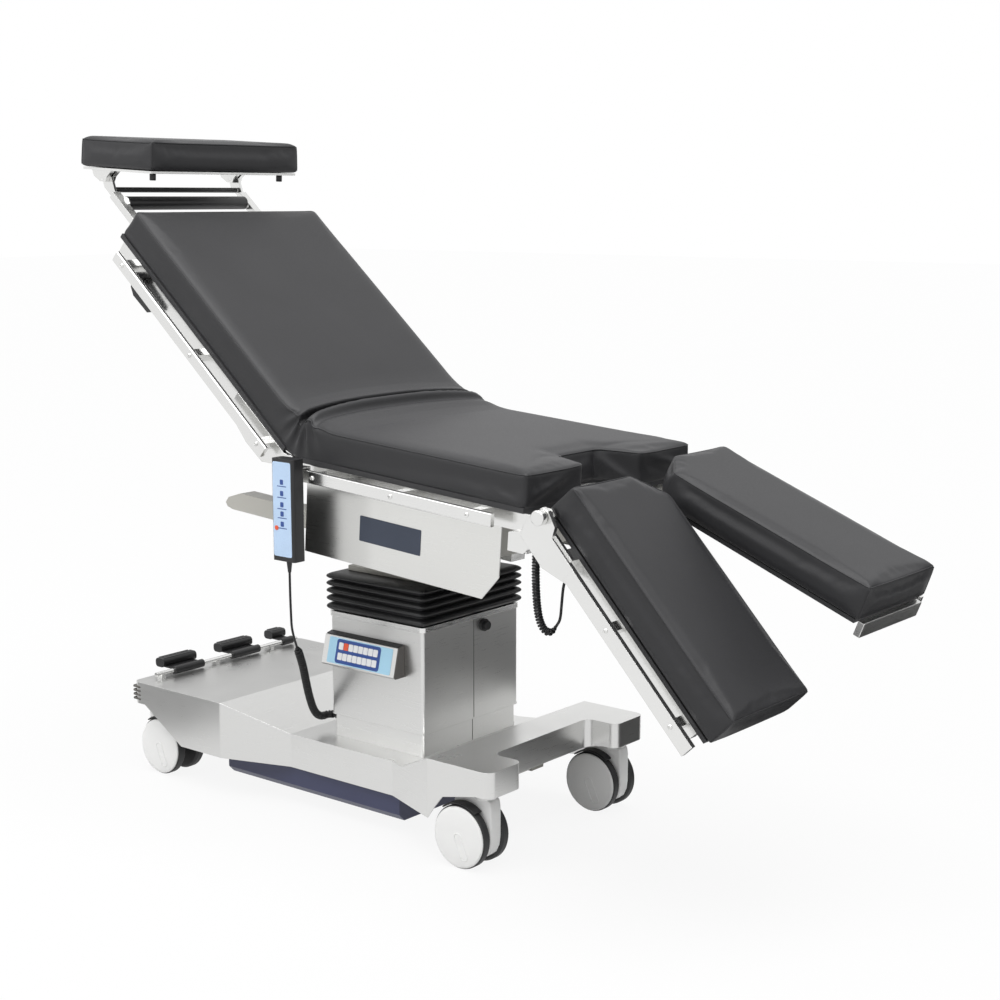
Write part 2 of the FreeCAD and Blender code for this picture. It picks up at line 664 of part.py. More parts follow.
# Folded bellows between the collar and the yoke, hollow, with four folds
def bellows():
    folds = 4
    pitch = (bellows_top.number - collar_top.number) / folds
    half_x = column_half_length.number + bellows_proud.number
    half_y = column_half_width.number + bellows_proud.number

    def ring(inset, z, wall):
        x, y = half_x - inset - wall, half_y - inset - wall
        points = [V(-x, -y, z), V(x, -y, z), V(x, y, z), V(-x, y, z), V(-x, -y, z)]
        return Part.makePolygon(points)

    def stack(wall):
        rings = []
        for i in range(folds):
            low = collar_top.number + i * pitch
            rings.append(ring(bellows_fold_depth.number, low, wall))
            rings.append(ring(0, low + pitch / 2, wall))
        rings.append(ring(bellows_fold_depth.number, bellows_top.number, wall))
        solids = [Part.makeLoft([a, b], True, True) for a, b in zip(rings, rings[1:])]
        whole = solids[0]
        for solid in solids[1:]:
            whole = whole.fuse(solid)
        return whole

    lid_x, lid_y = half_x - bellows_fold_depth.number, half_y - bellows_fold_depth.number
    hole_x, hole_y = lift_half_length.number + gap.number, lift_half_width.number + gap.number
    lid = Part.makeBox(2 * lid_x, 2 * lid_y, bellows_wall.number, V(-lid_x, -lid_y, bellows_top.number - bellows_wall.number))
    hole = Part.makeBox(2 * hole_x, 2 * hole_y, 20, V(-hole_x, -hole_y, bellows_top.number - 10))
    feature = doc.addObject("Part::Feature", "Bellows")
    feature.Shape = stack(0).cut(stack(bellows_wall.number)).fuse(lid.cut(hole))
    node("bellows", feature)


# Cardan block: pins along X in the yoke and along Y in the slide frame's lugs
def cardan():
    half = 17
    core = box(-ear_inner + 6, ear_inner - 6, -lug_inner + 6, lug_inner - 6, -half, half)
    roll = rod("X", -ear_outer, 0, 0, pivot_radius, 2 * ear_outer)
    pitch = rod("Y", 0, -lug_outer, 0, pivot_radius, 2 * lug_outer)
    block = fuse(core, roll, pitch)
    block.Label = "cardan_block"
    NODES["cardan_block"] = block
    bind(block, "Placement.Base.z", tilt_axis_height)


# Slide frame: two beams with a tapered head end, a cross plate and two lugs
def slide_frame():
    parts = []
    for side in (-1, 1):
        y0, y1 = mirrored_y(beam_inner, beam_outer, side)
        parts.append(prism("XZ", [(-beam_head, beam_bottom + 12), (-beam_head + 6, beam_bottom + 4),
                                  (-beam_head + 22, beam_bottom), (beam_foot, beam_bottom), (beam_foot, beam_top),
                                  (-beam_head + 44, beam_top), (-beam_head + 8, beam_bottom + 24)], y0, y1))
        y0, y1 = mirrored_y(lug_inner, lug_outer, side)
        lug = prism("XZ", [(-30, slide_plate_rise + 2), (-20, 0), (-12, -16), (12, -16), (20, 0),
                           (30, slide_plate_rise + 2)], y0, y1)
        parts.append(lug)
    plate = box(-150, 120, -beam_inner - 5, beam_inner + 5, slide_plate_rise, beam_top)
    bore = rod("Y", 0, -lug_outer - 10, 0, pivot_radius + pin_gap, 2 * lug_outer + 20)
    node("slide_frame", cut(fuse(*parts, plate), bore), SEAT)


# Seat: pad, plate and a frame with the slide runners and the back hinge's lugs.
# Cut-out at the foot edge, shared by the seat pad and its plate
def cutout_prism(z0, z1, grow):
    mouth, base = cutout_mouth + grow, cutout_base + grow
    deep = seat_foot - cutout_depth - grow
    past = seat_foot + 20
    flare = mouth + (mouth - base) * 20 / cutout_depth
    tool = prism("XY", [(past, -flare), (past, flare), (deep, base), (deep, -base)], z0, z1)
    return rounded(tool, 16, "Z", lambda middle: middle.x < deep.number + 5)


def seat():
    bottom = seat_top - seat_pad
    slope = tangent(fold_half_angle)
    hinge_z = seat_top - hinge_depth
    lean_low = (bottom - hinge_z) * slope
    lean_top = hinge_depth * slope
    pad = prism("XZ", [(-back_hinge_x + lean_low + 1, bottom), (seat_foot, bottom), (seat_foot, seat_top),
                       (-back_hinge_x + lean_top + 1, seat_top)], -pad_half_width, pad_half_width)
    pad = rounded(pad, 10, "Y", lambda middle: middle.x > 0 and middle.z > bottom.number + 5)
    node("seat_pad", cut(pad, cutout_prism(bottom - 10, seat_top + 10, as_size(0))), SEAT)
    plate_low = bottom - seat_plate
    start = -back_hinge_x + 26
    plate = box(start, seat_foot - 6, -pad_half_width + 6, pad_half_width - 6, plate_low, bottom)
    node("seat_plate", cut(plate, cutout_prism(plate_low - 10, bottom + 10, as_size(8))), SEAT)
    bars = []
    for side in (-1, 1):
        y0, y1 = mirrored_y(bar_inner, bar_outer, side)
        bars.append(box(start + 6, leg_hinge_x - 46, y0, y1, plate_low - bar_depth, plate_low))
    for x in (start + 6, seat_foot - cutout_depth - 46):
        bars.append(box(x, x + 26, -bar_inner - 4, bar_inner + 4, plate_low - 24, plate_low))
    for side in (-1, 1):
        y0, y1 = mirrored_y(beam_inner, beam_outer, side)
        bars.append(box(-panel_head + 14, panel_foot - 24, y0, y1, beam_top + gap, beam_top + 16))
        y0, y1 = mirrored_y(beam_inner + 14, beam_outer - 14, side)
        bars.append(box(-panel_head + 40, panel_foot - 40, y0, y1, beam_top + 14, plate_low))
    bores = []
    for side in (-1, 1):
        y0, y1 = mirrored_y(bar_inner, bar_outer - gap, side)
        bars.append(prism("XZ", [(start + 10, plate_low - bar_depth), (start + 10, plate_low - 1),
                                 (start - 2, plate_low - 1), (-back_hinge_x + 8, hinge_z + 6), (-back_hinge_x - 6, hinge_z + 2),
                                 (-back_hinge_x - 7, hinge_z - 7)], y0, y1))
        bars.append(rod("Y", -back_hinge_x, y0, hinge_z, back_hub_radius, y1 - y0))
        bores.append(rod("Y", -back_hinge_x, side * bar_inner - 60, hinge_z, back_pin_radius + pin_gap, 120))
    bars.append(box(leg_hinge_x - 72, leg_hinge_x - 48, -bar_inner, -bar_inner + 26, plate_low - bar_depth - 4,
                    plate_low - bar_depth + 6))
    node("seat_frame", cut(fuse(*bars), *bores), SEAT)
    return plate_low


def side_rail(label, frame, side, head, foot, top, screws, bar_low):
    y0, y1 = mirrored_y(rail_inner, rail_outer, side)
    bar = rounded(box(head, foot, y0, y1, top - rail_height, top), 2.5, "X")
    parts = [bar]
    for x, inner in screws:
        y0, y1 = mirrored_y(inner, rail_inner + 1, side)
        parts.append(box(x - 9, x + 9, y0, y1, bar_low, top - 5))
    node(label, fuse(*parts), frame)


def seat_sides(plate_low):
    for name, side in SIDES:
        screws = [(x, bar_outer) for x in (-seat_rail_head + 60, as_size(166), seat_rail_foot - 56)]
        side_rail(f"seat_rail_{name}", SEAT, side, -seat_rail_head, seat_rail_foot, seat_rail_top, screws,
                  plate_low - bar_depth + 4)
        outline = [(-panel_head, plate_low - bar_depth), (-panel_head, -panel_bottom),
                   (panel_foot - panel_chamfer_x, -panel_bottom), (panel_foot, -panel_bottom + panel_chamfer_z),
                   (panel_foot, plate_low - bar_depth)]
        y0, y1 = mirrored_y(panel_outer - sheet_wall, panel_outer, side)
        sheet_part = prism("XZ", outline, y0, y1)
        y0, y1 = mirrored_y(panel_outer - 30, panel_outer, side)
        lip = box(-panel_head, panel_foot, y0, y1, plate_low - bar_depth - sheet_wall, plate_low - bar_depth)
        y0, y1 = mirrored_y(panel_outer - 30, bar_inner + 2, side)
        strip = box(-panel_head + 20, panel_foot - 20, y0, y1, plate_low - bar_depth - sheet_wall,
                    plate_low - bar_depth)
        turn_y0, turn_y1 = mirrored_y(panel_outer - 14, panel_outer - 1, side)
        head_turn = box(-panel_head, -panel_head + sheet_wall, turn_y0, turn_y1, -panel_bottom,
                        plate_low - bar_depth)
        node(f"side_panel_{name}", fuse(sheet_part, lip, strip, head_turn), SEAT)
    wall = box(panel_foot - 14, panel_foot - 14 + sheet_wall, -panel_outer + sheet_wall, panel_outer - sheet_wall,
               beam_top + 20, plate_low - bar_depth - sheet_wall)
    ledge = box(panel_foot - 40, panel_foot - 14, -panel_outer + sheet_wall, panel_outer - sheet_wall,
                plate_low - bar_depth - 2 * sheet_wall, plate_low - bar_depth - sheet_wall)
    node("housing_end", fuse(wall, ledge), SEAT)


# Leg brackets on the seat frame: a plate outside the pad, joined to the side bar
def leg_brackets():
    pair = []
    for side in (-1, 1):
        y0, y1 = mirrored_y(bracket_inner, bracket_outer, side)
        x, z = leg_hinge_x, leg_hinge_z
        outline = [(x - 86, z - 45), (x - 86, z - 79), (x - 50, z - 79), (x + 5, z - 13.5), (x + 13, z - 6),
                   (x + 14, z + 3), (x + 6, z + 13), (x - 6, z + 13), (x - 18, z - 4), (x - 46, z - 12),
                   (x - 60, z - 40)]
        plate = prism("XZ", outline, y0, y1)
        y0, y1 = mirrored_y(bar_inner, bracket_inner + 1, side)
        block = box(x - 86, x - 46, y0, y1, z - 79, z - 45)
        bore = rod("Y", x, side * bracket_outer - 20, z, hinge_pin_radius + pin_gap, 40)
        pair.append(cut(fuse(plate, block), bore))
    node("leg_brackets", group(*pair), SEAT)


# Hand control hanging from the near rail, upright at any seat tilt
def hand_control():
    x0, x1 = -control_x - control_width / 2, -control_x + control_width / 2
    y0, y1 = -control_front, -control_front + control_depth
    body = rounded(box(x0, x1, y0, y1, control_bottom, control_bottom + control_length), 5, "Z")
    top = control_bottom + control_length
    rail_top = SEAT.at(-seat_rail_head, seat_rail_top)[1] + gap
    arm = box(x0 + 20, x1 - 8, y1, -rail_inner + 4, rail_top, rail_top + 3)
    lip = box(x0 + 20, x1 - 8, -rail_inner + gap, -rail_inner + 4, rail_top - 14, rail_top + 3)
    back = box(x0 + 20, x1 - 8, y1, y1 + 3, top - 60, rail_top + 3)
    node("hand_control_hook", fuse(arm, lip, back))
    relief = doc.addObject("Part::Cone", "Relief")
    bind(relief, "Radius1", 3.2)
    bind(relief, "Radius2", 6)
    bind(relief, "Height", relief_length)
    bind(relief, "Placement.Base.x", -control_x)
    bind(relief, "Placement.Base.y", -control_front + control_depth / 2)
    bind(relief, "Placement.Base.z", control_bottom - relief_length)
    node("hand_control", fuse(body, relief))


# Back section: pad, plate, frame with hinge cheeks, rails and head bars
def back():
    slope = tangent(fold_half_angle)
    top = hinge_depth
    pad = prism("XZ", [(-back_head, back_pad_bottom), (-back_pad_bottom * slope - 1, back_pad_bottom),
                       (-top * slope - 1, top), (-back_head, top)], -pad_half_width, pad_half_width)
    pad = rounded(pad, 10, "Y", lambda middle: middle.x < 1 - back_head.number and middle.z > top.number - 1)
    node("back_pad", pad, BACK)
    plate_low = back_pad_bottom - seat_plate
    node("back_plate", box(-back_head + 4, -26, -pad_half_width + 4, pad_half_width - 4, plate_low,
                           back_pad_bottom), BACK)
    parts = []
    for side in (-1, 1):
        y0, y1 = mirrored_y(bar_inner, bar_outer, side)
        parts.append(box(-back_head + 12, -60, y0, y1, plate_low - bar_depth, plate_low))
        y0, y1 = mirrored_y(bar_outer + gap, bar_outer + 10, side)
        parts.append(prism("XZ", [(-190, plate_low), (-190, -48), (-110, -62), (-54, -60), (-18, -32), (7, -8),
                                  (-6, 6), (-22, plate_low)], y0, y1))
        parts.append(rod("Y", 0, y0, 0, back_hub_radius, y1 - y0))
        y0, y1 = mirrored_y(bar_outer - 2, bar_outer + 2, side)
        parts.append(box(-180, -70, y0, y1, plate_low - bar_depth, plate_low - 4))
    for x in (as_size(-130), -back_head + 30):
        parts.append(box(x, x + 24, -bar_inner - 4, bar_inner + 4, plate_low - 22, plate_low))
    notches = []
    for side in (-1, 1):
        y0, y1 = mirrored_y(head_bar_side - head_bar_half - gap, head_bar_side + head_bar_half + gap, side)
        notches.append(box(-back_head + 20, -back_head + 60, y0, y1, plate_low - 16 - gap, plate_low + 1))
    for side in (-1, 1):
        y0, y1 = mirrored_y(bar_inner - 2, bar_outer + 6, side)
        parts.append(rod("Y", 0, y0, 0, back_pin_radius, y1 - y0))
    lever_pin = rod("Y", -lever_x, -bar_outer - 24, lever_z, 5, 26)
    node("back_frame", fuse(cut(fuse(*parts), *notches), lever_pin), BACK)
    for name, side in SIDES:
        screws = [(-back_rail_head + 30, bar_outer), (as_size(-320), bar_outer),
                  (-back_rail_foot - 24, bar_outer + 10)]
        side_rail(f"back_rail_{name}", BACK, side, -back_rail_head, -back_rail_foot, -back_rail_top, screws,
                  plate_low - bar_depth + 3)


def head():
    bars = []
    for side in (-1, 1):
        y0, y1 = mirrored_y(head_bar_side - head_bar_half, head_bar_side + head_bar_half, side)
        low = back_pad_bottom - seat_plate
        bars.append(box(-head_pivot_x + 42, -head_bar_start, y0, y1, low - 16, low))
        y0, y1 = mirrored_y(head_bar_side - 3, head_bar_side + 3, side)
        bars.append(prism("XZ", [(-head_pivot_x + 60, low - 16), (-head_pivot_x + 60, low),
                                 (-head_pivot_x + 40, low), (-head_pivot_x + 12, head_pivot_z + 11), (-head_pivot_x - 10, head_pivot_z + 9),
                                 (-head_pivot_x - 11, head_pivot_z - 9), (-head_pivot_x + 8, low - 16)], y0, y1))
    for side in (-1, 1):
        bars.append(rod("Y", -head_pivot_x, side * head_bar_side - 13, head_pivot_z, 5, 26))
    bars.append(rod("Y", -head_pivot_x + 26, -head_bar_side, -9, 5, 2 * head_bar_side))
    bars.append(rod("Y", -cross_bar_x, -head_bar_side + head_bar_half, -9, cross_bar_radius,
                    2 * (head_bar_side - head_bar_half)))
    node("head_bars", fuse(*bars), BACK)
    bottom = head_pad_bottom
    pad = box(-head_pad_head, head_pad_foot, -head_pad_half, head_pad_half, bottom, bottom + head_pad_thick)
    node("head_pad", rounded(pad, 10, "Z"), HEAD)
    low = bottom - head_plate
    parts = [box(-head_pad_head + 8, head_pad_foot - 8, -head_pad_half + 8, head_pad_half - 8, low, bottom)]
    for side in (-1, 1):
        for inner, outer in ((-13, -3 - gap.number), (3 + gap.number, 13)):
            y0, y1 = side * head_bar_side + inner, side * head_bar_side + outer
            parts.append(prism("XZ", [(-36, low), (-30, 2), (-9, -9), (9, -9), (14, 2), (30, low)], y0, y1))
        parts.append(rod("Z", head_pad_foot - 34, side * head_bar_side, low - 14, 6, 15))
    bore = rod("Y", 0, -head_bar_side - 60, 0, 5 + pin_gap, 2 * head_bar_side + 120)
    node("head_plate", cut(fuse(*parts), bore), HEAD)


# Release lever under the head end of the near back rail
def release_lever():
    x, z, y0 = -lever_x, lever_z, -bar_outer - 24
    hub = rod("Y", x, y0, z, 9, 24 - gap)
    grip = prism("XZ", [(x - 6, z + 6), (x + 6, z + 6), (x + 14, z - 9), (x + 78, z - 15), (x + 81, z - 23),
                        (x + 74, z - 33), (x + 20, z - 35), (x + 3, z - 26), (x - 8, z - 8)], y0 + 2, y0 + 20)
    bore = rod("Y", x, y0 - 10, z, 5 + pin_gap, 50)
    node("release_lever", cut(fuse(hub, grip), bore), BACK)


def leg(name, frame, side):
    pad_y0, pad_y1 = leg_inner, leg_outer
    top = leg_pad_bottom + leg_pad_thick
    outline = [(-leg_pad_start, side * pad_y1), (leg_pad_end, side * pad_y1), (leg_pad_end, side * pad_y0),
               (-leg_pad_start + leg_chamfer_x, side * pad_y0), (-leg_pad_start, side * (pad_y0 + leg_chamfer_y))]
    pad = prism("XY", outline, leg_pad_bottom, top)
    node(f"leg_pad_{name}", rounded(pad, 8, "Z"), frame)
    low = leg_pad_bottom - leg_plate
    y0, y1 = leg_inner + 8, leg_outer - 4
    plate = prism("XY", [(-4, side * y1), (leg_pad_end - 10, side * y1), (leg_pad_end - 10, side * y0),
                         (-leg_pad_start + leg_chamfer_x + 8, side * y0),
                         (-4, side * (leg_inner + leg_chamfer_y))], low, leg_pad_bottom)
    node(f"leg_plate_{name}", plate, frame)
    pin_y0, pin_y1 = mirrored_y(leg_outer + 0.5, rail_outer + 10, side)
    y0, y1 = mirrored_y(cheek_inner, rail_inner, side)
    cheek = prism("XZ", [(-13, -6), (-6, -13), (8, -15), (34, -30), (92, -30), (92, low), (30, low), (12, 8),
                         (0, 13), (-11, 8)], y0, y1)
    y0, y1 = mirrored_y(bar_inner, rail_inner - 1, side)
    cross = box(68, 92, y0, y1, low - 24, low)
    y0, y1 = mirrored_y(bar_inner, bar_outer, side)
    bar = box(68, leg_rail_end - 20, y0, y1, low - 24, low)
    pin = rod("Y", 0, pin_y0, 0, hinge_pin_radius, pin_y1 - pin_y0)
    node(f"leg_arm_{name}", fuse(cheek, cross, bar, pin), frame)
    y0, y1 = mirrored_y(rail_inner, rail_outer, side)
    strip = prism("XZ", [(cheek_end, -37), (leg_rail_end, -37), (leg_rail_end, -9), (cheek_end, -9)], y0, y1)
    y0, y1 = mirrored_y(rail_inner, rail_outer - cheek_recess, side)
    plate = prism("XZ", [(-16, -4), (-16, -40), (-4, -62), (66, -62), (cheek_end + 12, -37), (cheek_end + 12, -9),
                         (40, -9), (30, 9), (0, 17), (-12, 12)], y0, y1)
    spacers = []
    s0, s1 = mirrored_y(bar_outer, rail_inner + 1, side)
    for x in (226, 422):
        spacers.append(box(x - 9, x + 9, s0, s1, -30, -14))
    hole = rod("Y", 0, side * rail_inner - 40, 0, hinge_pin_radius + pin_gap, 80)
    node(f"leg_rail_{name}", cut(fuse(strip, plate, *spacers), hole), frame)
    k0, k1 = mirrored_y(rail_outer + gap, rail_outer + 16, side)
    knob = rounded_circle(rod("Y", 0, k0, 0, 14, k1 - k0), 3)
    bore_y0, bore_y1 = mirrored_y(rail_outer - 5, rail_outer + 10 + gap, side)
    bore = rod("Y", 0, bore_y0, 0, hinge_pin_radius + pin_gap, bore_y1 - bore_y0)
    node(f"leg_knob_{name}", cut(knob, bore), frame)


# A cord's tube: straight runs joined by arcs as large as the runs allow
def cord_tube(label, points, radius):
    points = [V(*point) for point in points]
    edges, radii, start = [], [], points[0]
    for before, corner, after in zip(points, points[1:], points[2:]):
        into, out = (corner - before), (after - corner)
        turn = into.getAngle(out)
        reach = 0.45 * min(into.Length, out.Length)
        radii.append(round(reach / math.tan(turn / 2), 1))
        into.normalize()
        out.normalize()
        first, last = corner - into * reach, corner + out * reach
        sag = reach / math.tan(turn / 2) * (1 / math.cos(turn / 2) - 1)
        inward = (out - into).normalize()
        edges.append(Part.LineSegment(start, first).toShape())
        edges.append(Part.Arc(first, corner + inward * sag, last).toShape())
        start = last
    edges.append(Part.LineSegment(start, points[-1]).toShape())
    path = Part.Wire(edges)
    circle = Part.Circle(points[0], points[1] - points[0], radius)
    tube = path.makePipeShell([Part.Wire([circle.toShape()])], True, False)
    ideal = math.pi * radius ** 2 * path.Length
    print(label, "length", round(path.Length, 1), "radii", radii, "volume ratio", round(tube.Volume / ideal, 4))
    feature = doc.addObject("Part::Feature", "Cord")
    feature.Shape = tube
    node(label, feature)


# The hand control's lead with its curly end, and a curly cord under the near leg
def cords():
    lead_x, lead_y = -control_x.number, (-control_front + control_depth / 2).number
    lead_top = control_bottom.number - relief_length.number
    inlet_x = (-column_half_length + column_inset - inlet_length).number
    y, z = inlet_y.number, inlet_z.number
    curl = [(-90, -282, 377), (-100, -258, 338), (-119, -231, 292), (-140, -200, 244), (-157, -170, 205),
            (-168, -140, 186), (inlet_x - 22, y, z), (inlet_x, y, z)]
    lead = [(lead_x, lead_y, lead_top), (lead_x, lead_y, 500), (-70, -316, 456), (-81, -303.6, 412), curl[0]]
    cord_tube("control_lead", lead, 2.5)
    cord_tube("control_coil", curl, 6.5)
    loop = [(469.8, -226, 666.5), (466.2, -226, 616.6), (466.5, -226, 572), (467.5, -224, 534),
            (471, -220.5, 503), (480, -215.5, 484.5), (492.5, -211.5, 484), (500.5, -209, 497)]
    tail = [loop[-1], (507.74, -206.74, 508.76), (510, -206, 540), (514, -206, 578), (531, -206, 611),
            (559.1, -206, 639.2), (576.66, -206, 655.57)]
    cord_tube("leg_cord_coil", loop, 7)
    cord_tube("leg_cord_lead", tail, 3.5)


def rounded_circle(feature, radius):
    doc.recompute()
    fillet = doc.addObject("Part::Fillet", "Rounded")
    fillet.Base = feature
    chosen = [i + 1 for i, edge in enumerate(feature.Shape.Edges) if edge.Curve.TypeId == "Part::GeomCircle"]
    fillet.Edges = [(i, radius, radius) for i in chosen]
    return fillet


base_cover()
underbody()
chassis()
casters()
pedals()
column()
keypad()
fittings()
lifting()
bellows()
cardan()
slide_frame()
seat_plate_low = seat()
seat_sides(seat_plate_low)
leg_brackets()
hand_control()
back()
head()
release_lever()
leg("near", NEAR_LEG, -1)
leg("far", FAR_LEG, 1)
cords()

# Check every object before anything is written
doc.recompute()
for feature in doc.Objects:
    if "Invalid" in feature.State or "Error" in feature.State:
        raise SystemExit(f"{feature.Name} {feature.Label} failed: {feature.State}")
for label, feature in NODES.items():
    shape = feature.Shape
    if shape.isNull() or not shape.isValid() or not shape.Solids:
        raise SystemExit(f"{label} has no valid solid")

os.makedirs("parts", exist_ok=True)
for label, feature in NODES.items():
    feature.Shape.exportStep(os.path.join("parts", f"{label}.step"))
print(len(NODES), "nodes")
for name, frame in (("back hinge", BACK), ("head pivot", HEAD), ("leg hinge", NEAR_LEG)):
    print(name, round(frame.x.number, 3), round(frame.z.number, 3))
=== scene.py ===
import bmesh
import bpy
import json
import math
import numpy as np
from mathutils import Matrix, Vector
from mathutils.bvhtree import BVHTree

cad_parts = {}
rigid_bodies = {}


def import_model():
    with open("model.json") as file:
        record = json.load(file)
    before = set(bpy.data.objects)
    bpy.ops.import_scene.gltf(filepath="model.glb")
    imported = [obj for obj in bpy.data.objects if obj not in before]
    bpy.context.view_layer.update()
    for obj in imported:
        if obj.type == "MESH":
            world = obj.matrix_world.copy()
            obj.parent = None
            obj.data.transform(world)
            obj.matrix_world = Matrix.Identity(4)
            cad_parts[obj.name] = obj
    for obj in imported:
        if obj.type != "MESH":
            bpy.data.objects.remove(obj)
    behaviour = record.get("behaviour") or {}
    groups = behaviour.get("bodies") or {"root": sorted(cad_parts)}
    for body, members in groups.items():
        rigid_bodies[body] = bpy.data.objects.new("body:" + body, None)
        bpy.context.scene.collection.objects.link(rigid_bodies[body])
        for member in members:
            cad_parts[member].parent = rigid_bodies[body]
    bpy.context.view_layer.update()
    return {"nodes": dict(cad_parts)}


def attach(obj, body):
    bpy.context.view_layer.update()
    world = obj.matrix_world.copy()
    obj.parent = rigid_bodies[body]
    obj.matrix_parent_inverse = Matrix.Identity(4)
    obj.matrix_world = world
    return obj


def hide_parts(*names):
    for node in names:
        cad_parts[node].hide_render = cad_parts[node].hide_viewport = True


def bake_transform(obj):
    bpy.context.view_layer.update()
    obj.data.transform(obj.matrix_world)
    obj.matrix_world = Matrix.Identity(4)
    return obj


# Operating table dressed for rendering: soft pads, cords, foils, fittings and
# materials around the fixed frame. Places given to at() and mm() are millimetres.
# Cords, seams, sleeves, camera and stage are in metres.

for thing in list(bpy.data.objects):
    bpy.data.objects.remove(thing)
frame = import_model()
nodes = frame["nodes"]
scene = bpy.context.scene
scene.view_settings.view_transform = "Standard"
MM = 0.001


def mm(x, y, z):
    return Vector((x, y, z)) * MM


# A section's own frame: where its origin is and how far its foot side dips
class Section:
    def __init__(self, x, z, degrees):
        self.x, self.z, self.turn = x, z, math.radians(degrees)

    def at(self, x, y, z):
        c, s = math.cos(self.turn), math.sin(self.turn)
        return mm(self.x + x * c + z * s, y, self.z - x * s + z * c)

    def matrix(self):
        return Matrix.Translation(mm(self.x, 0, self.z)) @ Matrix.Rotation(self.turn, 4, "Y")


SEAT = Section(0, 560, 4.1)
BACK = Section(-114.874, 747.694, 40.8)
HEAD = Section(-748.137, 1299.595, 3.2)
NEAR_LEG = Section(533.18, 711.266, 47.0)
FAR_LEG = Section(533.18, 711.266, 21.6)
SIDES = (("near", -1), ("far", 1))
LEGS = {-1: NEAR_LEG, 1: FAR_LEG}

# Millimetres that several pieces share: axle height, and how far out faces lie
AXLE_Z = 62.5
RAIL_FACE = 295
PANEL_FACE = 235
CONTROL_FACE = -336.0

# Camera at the photograph's viewpoint
camera = bpy.data.objects.new("camera", bpy.data.cameras.new("camera"))
scene.collection.objects.link(camera)
camera.location = (2.3856, -2.6876, 1.2557)
camera.rotation_euler = (math.radians(80.35), 0, math.radians(39.12))
camera.data.lens = 64.0
camera.data.sensor_width = 36.0
scene.camera = camera


# Node graph helpers
class Graph:
    def __init__(self, tree):
        self.tree = tree
        tree.nodes.clear()

    def add(self, kind, **values):
        made = self.tree.nodes.new(kind)
        for key, value in values.items():
            setattr(made, key, value)
        return made

    def join(self, source, output, target, entry):
        self.tree.links.new(source.outputs[output], target.inputs[entry])


def new_material(name):
    made = bpy.data.materials.new(name)
    made.use_nodes = True
    return made, Graph(made.node_tree)


# A surface with colour drift, uneven roughness and a fine relief. stretch draws
# the grain out along an axis, as brushing does, and cells gives a leather grain.
def surface(name, color, metallic=0.0, rough=(0.35, 0.5), grain=400, stretch=(1, 1, 1), relief=0.1,
            depth=0.0002, drift=0.08, drift_scale=6, cells=0, specular=0.5, edge=0.0):
    made, g = new_material(name)
    out = g.add("ShaderNodeOutputMaterial")
    shader = g.add("ShaderNodeBsdfPrincipled")
    shader.inputs["Metallic"].default_value = metallic
    shader.inputs["Specular IOR Level"].default_value = specular
    place = g.add("ShaderNodeTexCoord")
    scale = g.add("ShaderNodeMapping")
    scale.inputs["Scale"].default_value = stretch
    g.join(place, "Object", scale, "Vector")
    cloud = g.add("ShaderNodeTexNoise")
    cloud.inputs["Scale"].default_value = drift_scale
    cloud.inputs["Detail"].default_value = 4
    g.join(place, "Object", cloud, "Vector")
    tint = g.add("ShaderNodeMix", data_type="RGBA")
    tint.inputs[6].default_value = (*[c * (1 - drift) for c in color], 1)
    tint.inputs[7].default_value = (*[min(1, c * (1 + drift)) for c in color], 1)
    g.join(cloud, "Fac", tint, 0)
    fine = g.add("ShaderNodeTexNoise")
    fine.inputs["Scale"].default_value = grain
    fine.inputs["Detail"].default_value = 3
    g.join(scale, "Vector", fine, "Vector")
    spread = g.add("ShaderNodeMapRange")
    spread.inputs["From Min"].default_value = 0.3
    spread.inputs["From Max"].default_value = 0.7
    spread.inputs["To Min"].default_value = rough[0]
    spread.inputs["To Max"].default_value = rough[1]
    g.join(fine, "Fac", spread, "Value")
    g.join(spread, "Result", shader, "Roughness")
    height, height_out = fine, "Fac"
    if cells:
        height = g.add("ShaderNodeTexVoronoi", feature="SMOOTH_F1")
        height.inputs["Scale"].default_value = cells
        g.join(place, "Object", height, "Vector")
        height_out = "Distance"
    bump = g.add("ShaderNodeBump")
    bump.inputs["Strength"].default_value = relief
    bump.inputs["Distance"].default_value = depth
    g.join(height, height_out, bump, "Height")
    if edge:
        bevel = g.add("ShaderNodeBevel", samples=4)
        bevel.inputs["Radius"].default_value = edge
        g.join(bevel, "Normal", bump, "Normal")
    g.join(tint, 2, shader, "Base Color")
    g.join(bump, "Normal", shader, "Normal")
    g.join(shader, "BSDF", out, "Surface")
    return made


VINYL = surface("pad_vinyl", (0.027, 0.027, 0.029), rough=(0.40, 0.54), grain=700, cells=620, relief=0.16,
                depth=0.0003, drift=0.16, drift_scale=9, specular=0.32)
BOARD = surface("pad_board", (0.03, 0.03, 0.032), rough=(0.45, 0.6), grain=500, relief=0.15)
BRUSHED = surface("stainless_brushed", (0.70, 0.70, 0.69), metallic=1, rough=(0.27, 0.36), grain=320,
                  stretch=(0.05, 0.05, 6), relief=0.02, depth=0.0001, drift=0.04, drift_scale=3, edge=0.0012)
BRIGHT = surface("stainless_bright", (0.78, 0.78, 0.77), metallic=1, rough=(0.14, 0.26), grain=160,
                 stretch=(0.08, 0.3, 5), relief=0.06, depth=0.0001, drift=0.05, drift_scale=5, edge=0.0008)
PANEL = surface("stainless_panel", (0.76, 0.76, 0.74), metallic=1, rough=(0.27, 0.33), grain=320,
                stretch=(0.05, 0.05, 6), relief=0.008, depth=0.0001, drift=0.04, drift_scale=3, edge=0.0012)
CAP = surface("dark_cap", (0.10, 0.092, 0.085), rough=(0.35, 0.5), grain=900, relief=0.15, drift=0.12,
              edge=0.0008)
PAINT = surface("frame_paint", (0.50, 0.49, 0.45), rough=(0.32, 0.45), grain=900, relief=0.12, drift=0.06,
                edge=0.001)
